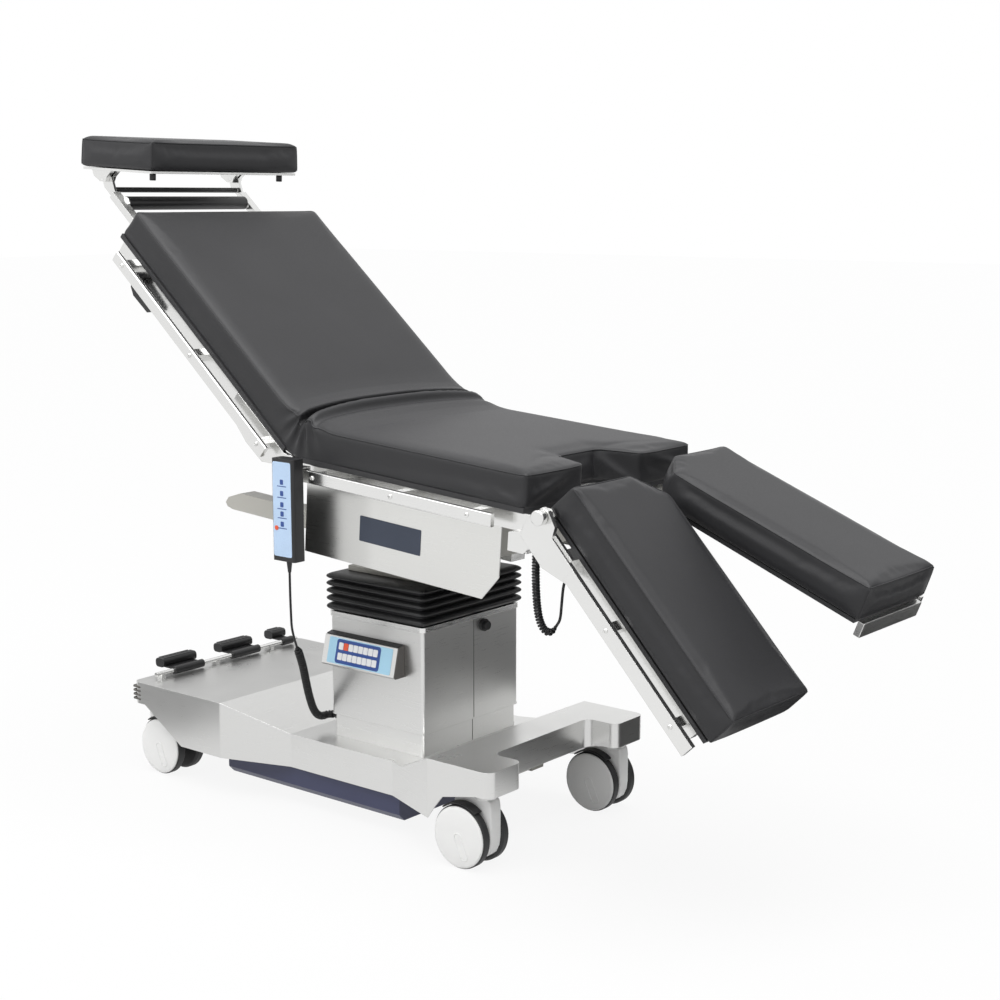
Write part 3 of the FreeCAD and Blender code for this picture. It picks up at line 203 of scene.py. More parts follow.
TUB = surface("tub_paint", (0.040, 0.046, 0.105), rough=(0.35, 0.48), grain=900, relief=0.1, drift=0.1,
              edge=0.001)
PLASTIC = surface("black_plastic", (0.012, 0.012, 0.013), rough=(0.34, 0.48), grain=1200, relief=0.25,
                  drift=0.2, edge=0.0012)
RUBBER = surface("bellows_rubber", (0.010, 0.010, 0.011), rough=(0.38, 0.52), grain=800, relief=0.2,
                 drift=0.2)
CORD = surface("cord_rubber", (0.008, 0.008, 0.009), rough=(0.38, 0.5), grain=900, relief=0.2, drift=0.15,
               specular=0.35)
WHITE = surface("caster_white", (0.92, 0.92, 0.91), rough=(0.3, 0.42), grain=900, relief=0.08, drift=0.03,
                edge=0.0012)
TYRE = surface("caster_tyre", (0.018, 0.018, 0.019), rough=(0.5, 0.65), grain=900, relief=0.25, drift=0.2)
FOIL_PALE = surface("control_foil", (0.52, 0.68, 0.90), rough=(0.25, 0.35), grain=700, relief=0.05,
                    drift=0.06, drift_scale=30)
FOIL = surface("keypad_foil", (0.42, 0.70, 0.88), rough=(0.25, 0.35), grain=700, relief=0.05, drift=0.04)
NAVY = surface("keypad_field", (0.025, 0.075, 0.30), rough=(0.25, 0.35), grain=700, relief=0.05, drift=0.06)
KEY = surface("keypad_key", (0.86, 0.87, 0.88), rough=(0.3, 0.4), grain=700, relief=0.05, drift=0.02)
RED = surface("keypad_red", (0.80, 0.10, 0.03), rough=(0.3, 0.4), grain=700, relief=0.05, drift=0.05)
PLATE = surface("blank_plate", (0.048, 0.060, 0.090), metallic=0.3, rough=(0.3, 0.45), grain=300,
                stretch=(0.2, 1, 4), relief=0.08, drift=0.12, drift_scale=14)

# The finish of each node, by the start of its name
FINISH = {
    "back_pad": VINYL, "seat_pad": VINYL, "head_pad": VINYL, "leg_pad": VINYL,
    "back_plate": BOARD, "seat_plate": BOARD, "head_plate": BRIGHT, "leg_plate": BOARD,
    "base_cover": BRUSHED, "column_": BRUSHED, "keypad_housing": BRUSHED, "side_panel": PANEL,
    "seat_rail": BRIGHT, "back_rail": BRIGHT, "leg_rail": BRIGHT, "leg_arm": BRIGHT, "leg_knob": BRIGHT,
    "leg_brackets": BRIGHT, "back_frame": BRIGHT, "head_bars": BRIGHT, "pedal_shaft": BRIGHT,
    "hand_control_hook": BRIGHT, "lift_column": BRIGHT, "cardan_block": BRIGHT, "tilt_yoke": PAINT,
    "slide_frame": PAINT, "seat_frame": BRIGHT, "housing_end": PAINT, "chassis_frame": PAINT,
    "underbody_tub": TUB, "hand_control": PLASTIC, "release_lever": PLASTIC, "pedal_": PLASTIC,
    "cord_inlet": PLASTIC, "column_socket": PLASTIC, "bellows": RUBBER, "control_": CORD, "leg_cord": CORD,
    "caster_fork": WHITE, "caster_wheel": TYRE, "column_collar": BRIGHT,
}
for name, thing in nodes.items():
    match = max((key for key in FINISH if name.startswith(key)), key=len)
    thing.data.materials.clear()
    thing.data.materials.append(FINISH[match])


# Mesh helpers
def mesh_object(name, verts, faces, material, smooth=True):
    data = bpy.data.meshes.new(name)
    data.from_pydata([tuple(v) for v in verts], [], faces)
    data.update()
    made = bpy.data.objects.new(name, data)
    scene.collection.objects.link(made)
    data.materials.append(material)
    shape = bmesh.new()
    shape.from_mesh(data)
    bmesh.ops.recalc_face_normals(shape, faces=shape.faces)
    shape.to_mesh(data)
    shape.free()
    if smooth:
        data.shade_smooth()
    return made


def evaluated(thing):
    graph = bpy.context.evaluated_depsgraph_get()
    return bpy.data.meshes.new_from_object(thing.evaluated_get(graph))


def bake(thing):
    data = evaluated(thing)
    thing.modifiers.clear()
    thing.data = data


# Let a piece ride on a body
def fit(made, body):
    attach(made, body)


def shade_by_angle(thing, degrees):
    thing.data.shade_smooth()
    thing.data.set_sharp_from_angle(angle=math.radians(degrees))


def turns(sides):
    return [2 * math.pi * i / sides for i in range(sides)]


# Faces between stacked rings of points. first is the number of the first point.
def ring_faces(first, sides, rings, closed=False):
    faces = []
    for k in range(rings if closed else rings - 1):
        a, b = first + k * sides, first + (k + 1) % rings * sides
        for i in range(sides):
            j = (i + 1) % sides
            faces.append([a + i, a + j, b + j, b + i])
    return faces


# Faces of a block whose lower and upper outlines have count points each
def prism_faces(count):
    ends = [list(range(count - 1, -1, -1)), list(range(count, 2 * count))]
    return ends + ring_faces(0, count, 2)


# A rounded flat slab: an outline in a plane, with a bevelled rim
def slab(name, outline, thick, place, material, bevel=0.4, segments=2):
    verts = [place(a, b, 0) for a, b in outline] + [place(a, b, thick) for a, b in outline]
    made = mesh_object(name, verts, prism_faces(len(outline)), material, smooth=False)
    if bevel:
        rim = made.modifiers.new("rim", "BEVEL")
        rim.width = bevel * MM
        rim.segments = segments
        rim.limit_method = "ANGLE"
        rim.angle_limit = math.radians(40)
        bake(made)
    return made


def round_rect(x0, x1, z0, z1, radius, steps=5):
    points = []
    for cx, cz, start in ((x1 - radius, z1 - radius, 0), (x0 + radius, z1 - radius, 90),
                          (x0 + radius, z0 + radius, 180), (x1 - radius, z0 + radius, 270)):
        for i in range(steps + 1):
            turn = math.radians(start + 90 * i / steps)
            points.append((cx + radius * math.cos(turn), cz + radius * math.sin(turn)))
    return points


# Axes for the rings of a swept tube, turned as little as possible along it
def frames_along(points):
    tangents = []
    for i in range(len(points)):
        ahead = points[min(i + 1, len(points) - 1)]
        behind = points[max(i - 1, 0)]
        tangents.append((ahead - behind).normalized())
    side = tangents[0].orthogonal().normalized()
    result = []
    for tangent in tangents:
        side = (side - tangent * side.dot(tangent)).normalized()
        result.append((side.copy(), tangent.cross(side).normalized()))
    return result


def tube_parts(points, radius, sides=8, closed=False):
    rings = frames_along(points)
    count = len(points)
    widths = radius if isinstance(radius, list) else [radius] * count
    verts = []
    for point, (u, v), width in zip(points, rings, widths):
        for turn in turns(sides):
            verts.append(point + (u * math.cos(turn) + v * math.sin(turn)) * width)
    faces = ring_faces(0, sides, count, closed)
    if not closed:
        faces.append(list(range(sides - 1, -1, -1)))
        faces.append([(count - 1) * sides + i for i in range(sides)])
    return verts, faces


# Points on the smooth line of a cord's spline, whose control points are given
def spline_points(points, resolution=12):
    data = bpy.data.curves.new("route", "CURVE")
    data.dimensions = "3D"
    spline = data.splines.new("NURBS")
    spline.points.add(len(points) - 1)
    for knot, point in zip(spline.points, points):
        knot.co = (*point, 1)
    spline.order_u = 3
    spline.use_endpoint_u = True
    spline.resolution_u = resolution
    line = bpy.data.objects.new("route", data)
    scene.collection.objects.link(line)
    mesh = bpy.data.meshes.new_from_object(line)
    found = [v.co.copy() for v in mesh.vertices]
    bpy.data.objects.remove(line)
    bpy.data.curves.remove(data)
    bpy.data.meshes.remove(mesh)
    return found


def length_of(points):
    return sum((b - a).length for a, b in zip(points, points[1:]))


# Points of a curl wound round a route. swell gives the curl's radius along it.
def curl_points(route, pitch, swell, per_turn=14):
    rings = frames_along(route)
    walked, due, turn, result = 0.0, 0.0, 0.0, []
    step = pitch / per_turn
    for i in range(len(route) - 1):
        a, b = route[i], route[i + 1]
        span = (b - a).length
        while due <= walked + span:
            share = (due - walked) / span
            u = rings[i][0].lerp(rings[i + 1][0], share)
            v = rings[i][1].lerp(rings[i + 1][1], share)
            radius = swell(due)
            result.append(a.lerp(b, share) + (u * math.cos(turn) + v * math.sin(turn)) * radius)
            turn += 2 * math.pi / per_turn
            due += step
        walked += span
    if (result[-1] - route[-1]).length > step:
        result.append(route[-1].copy())
    return result


# Cords in metres: wire thickness, pitch and radius of the curls, and their tapers
WIRE = 0.0052
LEAD_WIRE = 0.0047
PITCH = WIRE * 1.06
CURL_RADIUS = 0.0060
LEG_CURL_RADIUS = 0.0053
LEG_CURL_END = 0.211
CURL_TAPER = 0.012
LEG_TAPER = 0.02


# A cord's mesh round a line, standing for nodes
def cord_piece(name, line, wire, sides, *stands_for):
    verts, faces = tube_parts(line, wire / 2, sides)
    made = mesh_object(name, verts, faces, CORD)
    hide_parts(*stands_for)
    return made


# Control cord: a thin lead from the hand control that turns into a curly cord
lead_line = spline_points([Vector(p) for p in (
    (-0.066, -0.321, 0.538), (-0.066, -0.321, 0.500), (-0.070, -0.316, 0.456), (-0.081, -0.3036, 0.412),
    (-0.090, -0.282, 0.377))])
control_lead = cord_piece("control_lead_cord", lead_line, LEAD_WIRE, 10, "control_lead")
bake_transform(control_lead)

curl_line = spline_points([Vector(p) for p in (
    (-0.090, -0.282, 0.377), (-0.100, -0.258, 0.338), (-0.119, -0.231, 0.292), (-0.140, -0.200, 0.244),
    (-0.157, -0.170, 0.205), (-0.168, -0.140, 0.186), (-0.164, -0.118, 0.190), (-0.142, -0.118, 0.190))])
curl_length = length_of(curl_line)


def curl_swell(along):
    return CURL_RADIUS * min(1, along / CURL_TAPER, max(0, (curl_length - along) / CURL_TAPER))


curl_wire = spline_points(curl_points(curl_line, PITCH, curl_swell), 2)
control_curl = cord_piece("control_curl_cord", curl_wire, WIRE, 7, "control_coil")
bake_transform(control_curl)

# Curly cord under the near leg, from the seat frame to the leg's plate
leg_line = spline_points([Vector(p) for p in (
    (0.4698, -0.226, 0.6665), (0.4662, -0.226, 0.6166), (0.4665, -0.226, 0.572), (0.4675, -0.224, 0.534),
    (0.471, -0.2205, 0.503), (0.480, -0.2155, 0.4845), (0.4925, -0.2115, 0.484), (0.5005, -0.209, 0.497),
    (0.50774, -0.20674, 0.50876), (0.510, -0.206, 0.540), (0.514, -0.206, 0.578), (0.531, -0.206, 0.611),
    (0.5591, -0.206, 0.6392), (0.57666, -0.206, 0.65557))])


def leg_swell(along):
    return LEG_CURL_RADIUS * min(1, along / CURL_TAPER, max(0, (LEG_CURL_END - along) / LEG_TAPER))


leg_wire = spline_points(curl_points(leg_line, PITCH, leg_swell), 2)
leg_cord = cord_piece("leg_curl_cord", leg_wire, WIRE, 7, "leg_cord_coil", "leg_cord_lead")
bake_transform(leg_cord)


# Soft pads. A pad is built square in its own frame, cut into even cells,
# blown up as cloth, held flat below, and given one subdivision.
HELD_DEPTH = 5
CLOTH_FRAMES = 20


def pad_block(name, outline, low, high):
    verts = [mm(a, b, z) for z in (low, high) for a, b in outline]
    return mesh_object(name, verts, prism_faces(len(outline)), VINYL)


def read_points(data):
    flat = np.zeros(len(data.vertices) * 3)
    data.vertices.foreach_get("co", flat)
    return flat.reshape(-1, 3)


def write_points(data, points):
    data.vertices.foreach_set("co", points.astype(np.float32).ravel())
    data.update()


def puff(pad, low, voxel, cap, pressure):
    cells = pad.modifiers.new("cells", "REMESH")
    cells.mode = "VOXEL"
    cells.voxel_size = voxel * MM
    bake(pad)
    rest = read_points(pad.data)
    held = pad.vertex_groups.new(name="held")
    held.add([int(i) for i in np.nonzero(rest[:, 2] < (low + HELD_DEPTH) * MM)[0]], 1.0, "REPLACE")
    cloth = pad.modifiers.new("cloth", "CLOTH")
    cloth.settings.quality = 4
    cloth.settings.use_pressure = True
    cloth.settings.uniform_pressure_force = pressure
    cloth.settings.vertex_group_mass = "held"
    cloth.settings.effector_weights.gravity = 0
    cloth.point_cache.frame_start = 1
    cloth.point_cache.frame_end = CLOTH_FRAMES
    for number in range(1, CLOTH_FRAMES + 1):
        scene.frame_set(number)
    data = evaluated(pad)
    blown = read_points(data)
    pad.modifiers.clear()
    pad.vertex_groups.clear()
    scene.frame_set(1)
    moved = blown - rest
    far = np.linalg.norm(moved, axis=1, keepdims=True)
    share = np.minimum(1, cap * MM / np.maximum(far, 1e-9))
    write_points(pad.data, rest + moved * share)
    ease = pad.modifiers.new("ease", "SMOOTH")
    ease.factor = 0.5
    ease.iterations = 2
    finer = pad.modifiers.new("finer", "SUBSURF")
    finer.levels = 1
    finer.render_levels = 1
    bake(pad)
    pad.data.shade_smooth()


# A welded seam that runs on the pad's surface along a line
def add_seam(pad, points, radius, closed=True):
    shape = bmesh.new()
    shape.from_mesh(pad.data)
    tree = BVHTree.FromBMesh(shape)
    on_skin = []
    for point in points:
        near, normal, _, _ = tree.find_nearest(point)
        on_skin.append(near + normal * radius * 0.3)
    count = len(on_skin)
    for _ in range(3):
        on_skin = [(on_skin[i - 1] + on_skin[i] * 2 + on_skin[(i + 1) % count]) / 4
                   if closed or 0 < i < count - 1 else on_skin[i] for i in range(count)]
    verts, faces = tube_parts(on_skin, radius, 6, closed)
    made = [shape.verts.new(v) for v in verts]
    for face in faces:
        shape.faces.new([made[i] for i in face]).smooth = True
    shape.to_mesh(pad.data)
    shape.free()
    pad.data.update()


# Even steps round an outline at one height
def walk_outline(outline, z, step=6.0):
    points = []
    count = len(outline)
    for i in range(count):
        a, b = Vector(outline[i]), Vector(outline[(i + 1) % count])
        parts = max(1, round((b - a).length / step))
        points += [mm(*(a + (b - a) * k / parts), z) for k in range(parts)]
    return points


# Mattress of seat and back: one cover over the fold. It is made flat along
# the seat, and its head part is then turned up along a smooth bend of its top.
FOLD_TURN = math.radians(36.7)
HINGE_X, HINGE_Z = -128.0, 179.0
BEND_LEG = 108.0
BEND_STRETCH = 1.1
PAD_HALF = 266.0
TOP, LOW = 254.0, 182.0
CUT_DEPTH = 20


def fold(points):
    along = points[:, 0] / MM - HINGE_X
    drop = points[:, 2] / MM - TOP
    rise = TOP - HINGE_Z
    corner = rise * math.tan(FOLD_TURN / 2)
    span = corner + BEND_LEG
    cos_full, sin_full = math.cos(FOLD_TURN), math.sin(FOLD_TURN)
    t = np.clip((span - along) / (2 * span), 0, 1)
    beyond_seat = np.maximum(along - span, 0)
    beyond_back = np.maximum(-span - along, 0)
    back_way = BEND_LEG * t ** 2 + beyond_back
    x = corner + BEND_LEG * (1 - t) ** 2 + beyond_seat - back_way * cos_full
    z = rise + back_way * sin_full
    turn = np.arctan2(t * sin_full, 1 - t + t * cos_full)
    drop = np.where(drop < 0, drop * (1 + BEND_STRETCH * t * (1 - t)), drop)
    result = points.copy()
    result[:, 0] = (HINGE_X + x + np.sin(turn) * drop) * MM
    result[:, 2] = (HINGE_Z + z + np.cos(turn) * drop) * MM
    return result


# Roll of foam that the fold pushes up, arched across the width, with a sharp
# crease on its back side, and puckers at both ends. Its profile runs along the
# seat, in shares of its height.
ROLL = ((-50, 0), (-26, 0.08), (-14, 0.22), (-7, 0.20), (-2, -0.85), (8, -1.05), (15, 0.20), (22, 0.66),
        (32, 0.60), (42, 0.16), (50, 0.06), (60, 0.22), (75, 0.25), (105, 0.10), (150, 0))
ROLL_HEIGHT = 26
ROLL_START = 6
ROLL_ARCH = 30
ROLL_EDGE = 0.5
UNDERCUT = 0.5
PUCKER_START, PUCKER_WIDTH = 235, 30
PUCKER_REACH, PUCKER_SPREAD = 34, 32
PUCKER_FAN, PUCKER_RISE = 13, 12
PUCKER_DEPTH = 3.0
TUCK_WIDTH, TUCK_DROP, TUCK_LENGTH = 5, 4, 26


def raise_roll(points):
    along = points[:, 0] / MM - HINGE_X
    across = np.abs(points[:, 1] / MM) / PAD_HALF
    height = (points[:, 2] / MM - (LOW + CUT_DEPTH)) / (TOP - LOW - CUT_DEPTH)
    arch = np.clip(1 - across ** 2.6, 0, 1)
    knots, values = zip(*ROLL)
    lift = np.interp(along + ROLL_START + ROLL_ARCH * arch, knots, values)
    lift *= (ROLL_EDGE + (1 - ROLL_EDGE) * arch) * ROLL_HEIGHT
    lift *= np.clip(height, 0, 1) ** 2
    result = points.copy()
    result[:, 2] += lift * MM
    result[:, 0] += np.minimum(lift, 0) * UNDERCUT * MM
    side = np.clip((across * PAD_HALF - PUCKER_START) / PUCKER_WIDTH, 0, 1)
    below = TOP - points[:, 2] / MM
    reach = np.hypot(along, below)
    fan = np.arctan2(along, below + PUCKER_RISE)
    wave = np.sin(fan * PUCKER_FAN) * np.exp(-((reach - PUCKER_REACH) / PUCKER_SPREAD) ** 2)
    wave -= np.exp(-(along / TUCK_WIDTH) ** 2) * np.exp(-((below - TUCK_DROP) / TUCK_LENGTH) ** 2)
    result[:, 1] += np.sign(points[:, 1]) * PUCKER_DEPTH * wave * side * MM
    return result


# Room that a pad's block leaves below and above for swelling, and its seam's depth
PAD_RAISE = 1
PAD_SPARE = 3
SEAM_DROP = 5
mattress_outline = [(-786, -PAD_HALF), (460, -PAD_HALF), (460, -92), (376, -60), (376, 60), (460, 92),
                    (460, PAD_HALF), (-786, PAD_HALF)]
mattress = pad_block("seat_back_mattress", mattress_outline, LOW + PAD_RAISE, TOP - PAD_SPARE)
puff(mattress, LOW + PAD_RAISE, voxel=6.5, cap=4, pressure=3.0)
add_seam(mattress, walk_outline(mattress_outline, TOP - SEAM_DROP), 0.0015)
write_points(mattress.data, fold(raise_roll(read_points(mattress.data))))
mattress.data.transform(SEAT.matrix())
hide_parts("seat_pad", "back_pad")
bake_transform(mattress)


# A pad on one section, with seams down the corners that are named
def simple_pad(name, node, outline, low, high, section, body, corners=()):
    pad = pad_block(name, outline, low + PAD_RAISE, high - PAD_SPARE)
    puff(pad, low + PAD_RAISE, voxel=5.0, cap=3.5, pressure=2.5)
    add_seam(pad, walk_outline(outline, high - SEAM_DROP), 0.0014)
    for x, y in corners:
        add_seam(pad, [mm(x, y, z) for z in range(int(low + 6), int(high - SEAM_DROP), 3)], 0.0011, False)
    pad.data.transform(section.matrix())
    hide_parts(node)
    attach(pad, body)


simple_pad("head_mattress", "head_pad", [(-55, -214), (181, -214), (181, 214), (-55, 214)], 20.5, 86.5, HEAD,
           "head", [(181, -214), (181, 214), (-55, -214), (-55, 214)])
for name, side in SIDES:
    outer, inner = side * PAD_HALF, side * 14
    outline = [(-13, outer), (481, outer), (481, inner), (41, inner), (-13, side * 90)]
    if side > 0:
        outline.reverse()
    simple_pad(f"leg_mattress_{name}", f"leg_pad_{name}", outline, 2, 72, LEGS[side], f"leg_{name}",
               [(481, outer), (481, inner)])


# Bellows of soft rubber, with rounded lips
def bellows():
    folds, steps = 5, 10
    low, high = 423.6, 502.6
    half_x, half_y, lip_x, lip_y, corner = 122, 146, 12.5, 12, 10
    heights = [low + (high - low) * (i / folds) ** 0.92 for i in range(folds + 1)]
    rings = []
    for bottom, top in zip(heights, heights[1:]):
        for i in range(steps):
            share = i / steps
            lip = math.sin(math.pi * share) ** 0.7
            rings.append((bottom + (top - bottom) * share, half_x + lip_x * lip, half_y + lip_y * lip))
    rings.append((high, half_x, half_y))
    verts = []
    for z, wide, deep in rings:
        verts += [mm(a, b, z) for a, b in round_rect(-wide, wide, -deep, deep, corner, 6)]
    per_ring = len(verts) // len(rings)
    faces = ring_faces(0, per_ring, len(rings))
    faces.append(list(range(per_ring - 1, -1, -1)))
    faces.append([(len(rings) - 1) * per_ring + i for i in range(per_ring)])
    made = mesh_object("bellows_skin", verts, faces, RUBBER)
    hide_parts("bellows")
    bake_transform(made)


bellows()


# Keypad on the sloped face of its housing: foil, dark field and two rows of keys
def keypad():
    top, low = Vector((0, -166.4, 377)), Vector((0, -180.4, 320))
    up = (top - low).normalized()
    out = Vector((0, -up.z, up.y)).normalized()
    foil_thick, field_thick, pitch, key_wide, key_high = 0.6, 0.5, 13.5, 12.4, 14.5
    back_top, back_y, top_slope = 381.2, -149.4, 0.235

    def layer(height):
        return lambda a, b, c: (low + Vector((a, 0, 0)) + up * b + out * (c + height)) * MM

    def on_end(a, b, c):
        return mm(75 + c, a, b)

    def on_top(a, b, c):
        return mm(a, b, back_top + (b - back_y) * top_slope + c)

    foil = slab("keypad_foil", round_rect(-110, 64, 3, 56, 3), foil_thick, layer(0), FOIL, 0.2, 1)
    fit(foil, "base")
    field = slab("keypad_field", round_rect(-88, 33, 5, 54, 6), field_thick, layer(foil_thick), NAVY, 0.2, 1)
    fit(field, "base")
    for row, base in ((1, 33), (2, 12)):
        for i in range(8):
            x = -81 + pitch * i
            finish = RED if row == 1 and i == 1 else KEY
            key = slab(f"keypad_key_{row}_{i}", round_rect(x, x + key_wide, base, base + key_high, 2), 1.0,
                       layer(foil_thick + field_thick), finish, 0.4, 2)
            fit(key, "base")
    side = [(-149.5, 316), (-149.5, 381.5), (-166.5, 377.5), (-180.5, 320), (-176.5, 316)]
    fit(slab("keypad_end", side, 2.4, on_end, CAP, 0.5, 2), "base")
    slot = [(-123, -164), (75, -164), (75, -150), (-123, -150)]
    fit(slab("keypad_slot", slot, 1.4, on_top, PLASTIC, 0.3, 1), "base")


keypad()


# Hand control: foil on its face, with plain marks
def hand_control():
    foil_thick = 0.5

    def on_face(a, b, c):
        return mm(a, CONTROL_FACE - c, b)

    def on_foil(a, b, c):
        return on_face(a, b, c + foil_thick)

    foil = slab("control_foil", round_rect(-92, -43, 571, 756, 4), foil_thick, on_face, FOIL_PALE, 0.2, 1)
    fit(foil, "seat")
    for i, z in enumerate((712, 690, 668, 650, 630)):
        mark = slab(f"control_mark_{i}", round_rect(-72, -63, z, z + 10, 2), 0.4, on_foil, NAVY, 0.15, 1)
        fit(mark, "seat")
        line = round_rect(-80, -55, z - 4, z - 2.4, 0.7, 2)
        fit(slab(f"control_bar_{i}", line, 0.3, on_foil, NAVY, 0.1, 1), "seat")
    stop = slab("control_stop", round_rect(-88, -78, 622, 631, 4.4), 1.0, on_foil, RED, 0.4, 2)
    fit(stop, "seat")


hand_control()

# Blank plates on the side panels
for name, side in SIDES:
    def on_panel(a, b, c, side=side):
        return SEAT.at(a, side * (PANEL_FACE + c), b)

    plate = slab(f"blank_plate_{name}", round_rect(37, 194, 44, 94, 2), 1.2, on_panel, PLATE, 0.4, 2)
    fit(plate, "seat")


# A button-head screw with a six-sided recess
def screw(name, section, x, y, z, side, radius, body):
    sides = 24
    head = [(1.0, 0.0), (1.0, 0.22), (0.86, 0.5), (0.62, 0.62)]
    recess_top, recess_floor, recess_half = 0.62, 0.1, 0.5
    corner = math.pi / 6
    flat = recess_half * math.cos(corner)
    hexagon = [flat / math.cos((turn % (2 * corner)) - corner) for turn in turns(sides)]
    rings = [([r] * sides, h) for r, h in head]
    rings += [(hexagon, recess_top), (hexagon, recess_floor)]
    verts = []
    for reaches, h in rings:
        for turn, reach in zip(turns(sides), reaches):
            verts.append(section.at(x + radius * reach * math.cos(turn), y + side * h * radius,
                                    z + radius * reach * math.sin(turn)))
    faces = ring_faces(0, sides, len(rings))
    faces.append([(len(rings) - 1) * sides + i for i in range(sides)])
    faces.append(list(range(sides - 1, -1, -1)))
    fit(mesh_object(name, verts, faces, BRIGHT, smooth=False), body)


SCREW_RADIUS = 4.6
for name, side in SIDES:
    for i, x in enumerate((-38, 166, 352)):
        screw(f"seat_screw_{name}_{i}", SEAT, x, side * RAIL_FACE, 161.5, side, SCREW_RADIUS, "seat")
    for i, x in enumerate((-588, -320, -69)):
        screw(f"back_screw_{name}_{i}", BACK, x, side * RAIL_FACE, -20.5, side, SCREW_RADIUS, "back")
    for i, x in enumerate((226, 422)):
        screw(f"leg_screw_{name}_{i}", LEGS[side], x, side * RAIL_FACE, -23, side, SCREW_RADIUS,
              f"leg_{name}")


# A closed pill outline in its own plane, narrower at its far end
def pill(half, reach, far_share=0.7, steps=12, runs=8):
    bow = [math.pi * i / steps for i in range(steps + 1)]
    near = [(-half * math.sin(turn), half * math.cos(turn)) for turn in bow]
    far = [(reach + half * far_share * math.sin(turn), -half * math.cos(turn)) for turn in bow]
    under = [(reach * k / runs, -half) for k in range(1, runs + 1)]
    over = [(reach * (runs - k) / runs, half) for k in range(1, runs)]
    return near + under + far + over


# A point in a wheel's plane, from its axle. way is -1 for an angle from behind.
def wheel_point(axle_x, y, radius, turn, way=1):
    return mm(axle_x + way * radius * math.cos(turn), y, AXLE_Z + radius * math.sin(turn))


# Caster discs: a domed white cover on each side, with a raised pill outline
DISC_FACE = 39.5
DISC_PROFILE = ((0, 1.9), (12, 1.9), (14, 1.6), (16, 1.9), (36, 1.7), (50, 1.1), (56, 0.5), (59, -0.2),
                (60.3, -1.8), (54, -3.4), (0, -3.8))
DOME = DISC_PROFILE[:8]
PILL_SLOPE = math.radians(-66)


def caster_disc(name, axle_x, y, side, body):
    sides = 48
    verts = []
    for r, h in DISC_PROFILE:
        for turn in turns(sides) if r else [0]:
            verts.append(wheel_point(axle_x, y + side * (DISC_FACE + h), r, turn))
    rings = len(DISC_PROFILE) - 2
    last = 1 + (rings - 1) * sides
    faces = [[0, 1 + i, 1 + (i + 1) % sides] for i in range(sides)]
    faces += ring_faces(1, sides, rings)
    faces += [[last + i, last + (i + 1) % sides, len(verts) - 1] for i in range(sides)]
    ring = []
    for a, b in pill(8.5, 40):
        px = a * math.cos(PILL_SLOPE) - b * math.sin(PILL_SLOPE)
        pz = a * math.sin(PILL_SLOPE) + b * math.cos(PILL_SLOPE)
        dome = np.interp(math.hypot(px, pz), *zip(*DOME))
        ring.append(mm(axle_x + px, y + side * (DISC_FACE + dome), AXLE_Z + pz))
    pill_verts, pill_faces = tube_parts(ring, 0.0011, 6, True)
    faces += [[i + len(verts) for i in face] for face in pill_faces]
    fit(mesh_object(name, verts + pill_verts, faces, WHITE), body)


# Caster housings: a white fork that fills the gap between the wheels, with a
# rounded front, hubs on the axle and a collar on its stem
FORK_OUTLINE = ((-31, 66), (-8, 79.3), (14, 79.3), (50, 79.3), (58, 75), (60.5, 62), (60.5, 2), (58, -15),
                (51, -30), (41, -38), (28, -42), (18, -34), (17, -16), (14, 17), (-8, 22), (-24, 40))
FORK_WIDE = 30.4
HUB_RADIUS = 13.0
HUB_REACH = (10.584, 13.02)
STEM_OFFSET = 36
STEM_RINGS = ((17, 138), (21, 139), (22, 141.5), (22, 156), (11, 156), (11, 172))


def caster_housing(name, way, axle_x, y, body):
    outline = [(axle_x + way * a, AXLE_Z + b) for a, b in FORK_OUTLINE]
    if way < 0:
        outline.reverse()
    web = slab("web", outline, FORK_WIDE, lambda a, b, c: mm(a, y - FORK_WIDE / 2 + c, b), WHITE, 3.2, 4)
    verts = [v.co.copy() for v in web.data.vertices]
    faces = [list(f.vertices) for f in web.data.polygons]
    bpy.data.objects.remove(web)
    sides = 24
    for low, high in ((-HUB_REACH[1], -HUB_REACH[0]), HUB_REACH):
        base = len(verts)
        for across in (low, high):
            verts += [wheel_point(axle_x, y + across, HUB_RADIUS, turn) for turn in turns(sides)]
        faces.append(list(range(base, base + sides)))
        faces.append(list(range(base + 2 * sides - 1, base + sides - 1, -1)))
        faces += ring_faces(base, sides, 2)
    base, sides = len(verts), 28
    stem_x = axle_x + way * STEM_OFFSET
    for radius, z in STEM_RINGS:
        for turn in turns(sides):
            verts.append(mm(stem_x + radius * math.cos(turn), y + radius * math.sin(turn), z))
    faces += ring_faces(base, sides, len(STEM_RINGS))
    faces.append([base + i for i in range(sides)])
    faces.append([base + (len(STEM_RINGS) - 1) * sides + i for i in range(sides)])
    made = mesh_object(f"caster_housing_{name}", verts, faces, WHITE, smooth=False)
    shade_by_angle(made, 35)
    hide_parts(f"caster_fork_{name}")
    fit(made, body)


# Black caps over the wheels of a caster, curved along the tread
CAP_PROFILE = ((64.2, 17), (64.2, 37), (66.2, 38.6), (67.4, 36), (67.4, 17))
CAP_START, CAP_SPAN = 54, 74


def caster_cap(name, way, axle_x, y, side, body):
    steps, count = 14, len(CAP_PROFILE)
    verts = []
    for i in range(steps + 1):
        turn = math.radians(CAP_START + CAP_SPAN * i / steps)
        for radius, across in CAP_PROFILE:
            verts.append(wheel_point(axle_x, y + side * across, radius, turn, way))
    faces = ring_faces(0, count, steps + 1)
    faces.append(list(range(count)))
    faces.append([steps * count + i for i in range(count)])
    fit(mesh_object(name, verts, faces, PLASTIC, smooth=False), body)


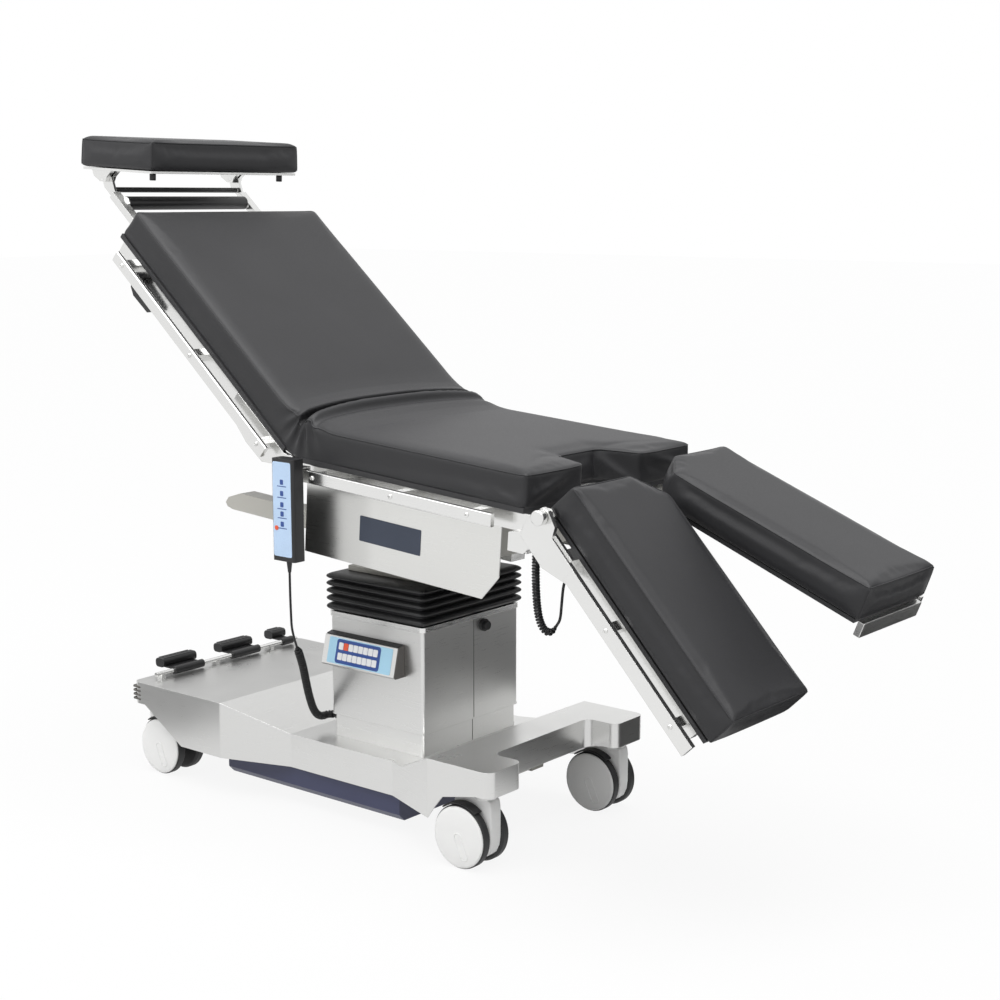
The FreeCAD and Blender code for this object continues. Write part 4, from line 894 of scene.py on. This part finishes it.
CASTERS = (("foot_near", 300, -209), ("foot_far", 300, 209), ("head_near", -580, -192),
           ("head_far", -580, 192))
WHEEL_SIDES = (("a", -1), ("b", 1))
for name, axle_x, y in CASTERS:
    for word, side in WHEEL_SIDES:
        caster_disc(f"caster_disc_{name}_{word}", axle_x, y, side, f"wheel_{name}")
for name, axle_x, y in CASTERS:
    way = 1 if axle_x > 0 else -1
    caster_housing(name, way, axle_x, y, f"swivel_{name}")
    for word, side in WHEEL_SIDES:
        caster_cap(f"caster_cap_{name}_{word}", way, axle_x, y, side, f"swivel_{name}")


# A turned sleeve between two points, with softened ends
def sleeve(name, start, end, radius, material, body, sides=20):
    axis = (end - start).normalized()
    ease = min(0.0012, (end - start).length / 6)
    points = [start, start + axis * ease, end - axis * ease, end]
    tip = radius - ease * 0.7
    verts, faces = tube_parts(points, [tip, radius, radius, tip], sides)
    made = mesh_object(name, verts, faces, material, smooth=False)
    shade_by_angle(made, 50)
    fit(made, body)


# Black sleeves on the head section's cross bars, and black plugs under its plate
for word, x, half, radius in (("low", -770, 172, 0.0148), ("high", -814, 180, 0.0058)):
    sleeve(f"head_sleeve_{word}", BACK.at(x, -half, -9), BACK.at(x, half, -9), radius, PLASTIC, "back")
for name, side in SIDES:
    sleeve(f"head_plug_{name}", HEAD.at(150, side * 184, 0.5), HEAD.at(150, side * 184, 15), 0.0068, PLASTIC,
           "head")

# Seam down the column's foot face
for name, face_x, z0, z1 in (("cover", 126, 207, 412), ("foot", 122, 158, 203.5)):
    seam = slab(f"column_seam_{name}", [(5.6, z0), (6.6, z0), (6.6, z1), (5.6, z1)], 0.5,
                lambda a, b, c, face_x=face_x: mm(face_x + c, a, b), CAP, 0, 1)
    fit(seam, "base")

# Bright bar under the foot end of the far leg's pad
bar = slab("leg_end_bar_far", round_rect(46, 268, -38, -8.4, 2.5, 3), 13,
           lambda a, b, c: FAR_LEG.at(470 + c, a, b), BRUSHED, 1.0, 2)
fit(bar, "leg_far")

# Ribbed corner guards at the head end of the base
GUARD_RADIUS = 0.0027
for name, side in SIDES:
    for i in range(4):
        z = 168 + i * 9
        sleeve(f"corner_guard_{name}_{i}", mm(-636.8, side * 228.0, z), mm(-636.8, side * 251.2, z),
               GUARD_RADIUS, CAP, "base", 10)
        sleeve(f"corner_guard_side_{name}_{i}", mm(-637.2, side * 250.8, z), mm(-614.0, side * 250.8, z),
               GUARD_RADIUS, CAP, "base", 10)


# Ribs on the pedal pads
def on_pedal(a, b, c):
    return mm(a, b, 238.6 + c)


for name, y, width in (("brake", -122, 96), ("up", 50, 96), ("down", 184, 44)):
    for i in range(3):
        x, half = -655.5 + i * 8.6, width / 2 - 5
        rib = slab(f"pedal_rib_{name}_{i}", round_rect(x, x + 3.4, y - half, y + half, 1.6, 3), 0.9, on_pedal,
                   PLASTIC, 0.3, 2)
        fit(rib, f"pedal_{name}")


# Stage: pale floor, white surroundings and soft lamps. Camera rays, glossy rays
# and rays through glass see more white than the soft light that falls on things.
def mix_to_eye(g, plain, plain_output, seen, seen_output, strength, out):
    path = g.add("ShaderNodeLightPath")
    either = g.add("ShaderNodeMath", operation="MAXIMUM")
    third = g.add("ShaderNodeMath", operation="MAXIMUM")
    scaled = g.add("ShaderNodeMath", operation="MULTIPLY")
    scaled.inputs[1].default_value = strength
    g.join(path, "Is Glossy Ray", third, 0)
    g.join(path, "Is Transmission Ray", third, 1)
    g.join(path, "Is Camera Ray", either, 0)
    g.join(third, "Value", either, 1)
    g.join(either, "Value", scaled, 0)
    mix = g.add("ShaderNodeMixShader")
    g.join(scaled, "Value", mix, 0)
    g.join(plain, plain_output, mix, 1)
    g.join(seen, seen_output, mix, 2)
    g.join(mix, "Shader", out, "Surface")


def flat_sheet(name, half_x, half_y, material):
    corners = [(-half_x, -half_y, 0), (half_x, -half_y, 0), (half_x, half_y, 0), (-half_x, half_y, 0)]
    made = mesh_object(name, corners, [[0, 1, 2, 3]], material)
    return made


FLOOR_GRAY, FLOOR_WHITE, FLOOR_HALF = 0.68, 0.90, 30
floor_material, g = new_material("floor")
out = g.add("ShaderNodeOutputMaterial")
matte = g.add("ShaderNodeBsdfDiffuse")
matte.inputs["Color"].default_value = (FLOOR_GRAY, FLOOR_GRAY, FLOOR_GRAY, 1)
glow = g.add("ShaderNodeEmission")
glow.inputs["Strength"].default_value = 1.0
mix_to_eye(g, matte, "BSDF", glow, "Emission", FLOOR_WHITE, out)
flat_sheet("floor", FLOOR_HALF, FLOOR_HALF, floor_material)

world = bpy.data.worlds.new("studio")
scene.world = world
world.use_nodes = True
g = Graph(world.node_tree)
out = g.add("ShaderNodeOutputWorld")
ambient, clear = g.add("ShaderNodeBackground"), g.add("ShaderNodeBackground")
for background, strength in ((ambient, 0.30), (clear, 1.0)):
    background.inputs["Color"].default_value = (1, 1, 1, 1)
    background.inputs["Strength"].default_value = strength
mix_to_eye(g, ambient, "Background", clear, "Background", 1.0, out)


def lamp(name, kind, location, target, width, energy):
    data = bpy.data.lights.new(name, kind)
    if kind == "SUN":
        data.angle = math.radians(width)
    else:
        data.size = width
    data.energy = energy
    made = bpy.data.objects.new(name, data)
    scene.collection.objects.link(made)
    made.location = location
    made.rotation_euler = (Vector(target) - Vector(location)).to_track_quat("-Z", "Y").to_euler()


lamp("key", "AREA", (-1.6, -3.4, 3.4), (0, 0, 0.6), 2.4, 60)
lamp("top", "SUN", (0.5, -0.3, 4.0), (0, 0, 0.6), 60, 3.1)


# Dark and light boards, seen only in reflections, give the metal its shades
def board(name, center, facing, width, height, gray):
    material, g = new_material(name)
    out = g.add("ShaderNodeOutputMaterial")
    glow = g.add("ShaderNodeEmission")
    glow.inputs["Color"].default_value = (gray, gray, gray, 1)
    g.join(glow, "Emission", out, "Surface")
    made = flat_sheet(name, width / 2, height / 2, material)
    made.location = center
    made.rotation_euler = (Vector(facing) - Vector(center)).to_track_quat("Z", "Y").to_euler()
    made.visible_camera = False
    made.visible_diffuse = False
    made.visible_shadow = False
    made.visible_transmission = False


board("dark_foot", (1.60, 1.80, 0.40), (0, 0, 0.40), 2.5, 1.3, 0.08)
board("dark_floor", (1.00, 0.875, 0.004), (1.00, 0.875, 1.0), 1.0, 1.35, 0.03)
board("dark_near", (-0.222, -0.290, 0.56), (-0.222, 0, 0.56), 0.296, 0.24, 0.002)
board("light_near", (-0.029, -0.291, 0.56), (-0.029, 0, 0.56), 0.090, 0.24, 0.80)
board("gray_head_top", (-1.55, 0.87, 0.46), (-0.5, 0.0, 0.3), 0.9, 0.9, 0.60)
board("gray_head_near", (-1.12, -0.95, 0.004), (-1.12, -0.95, 1.0), 0.72, 0.95, 0.24)
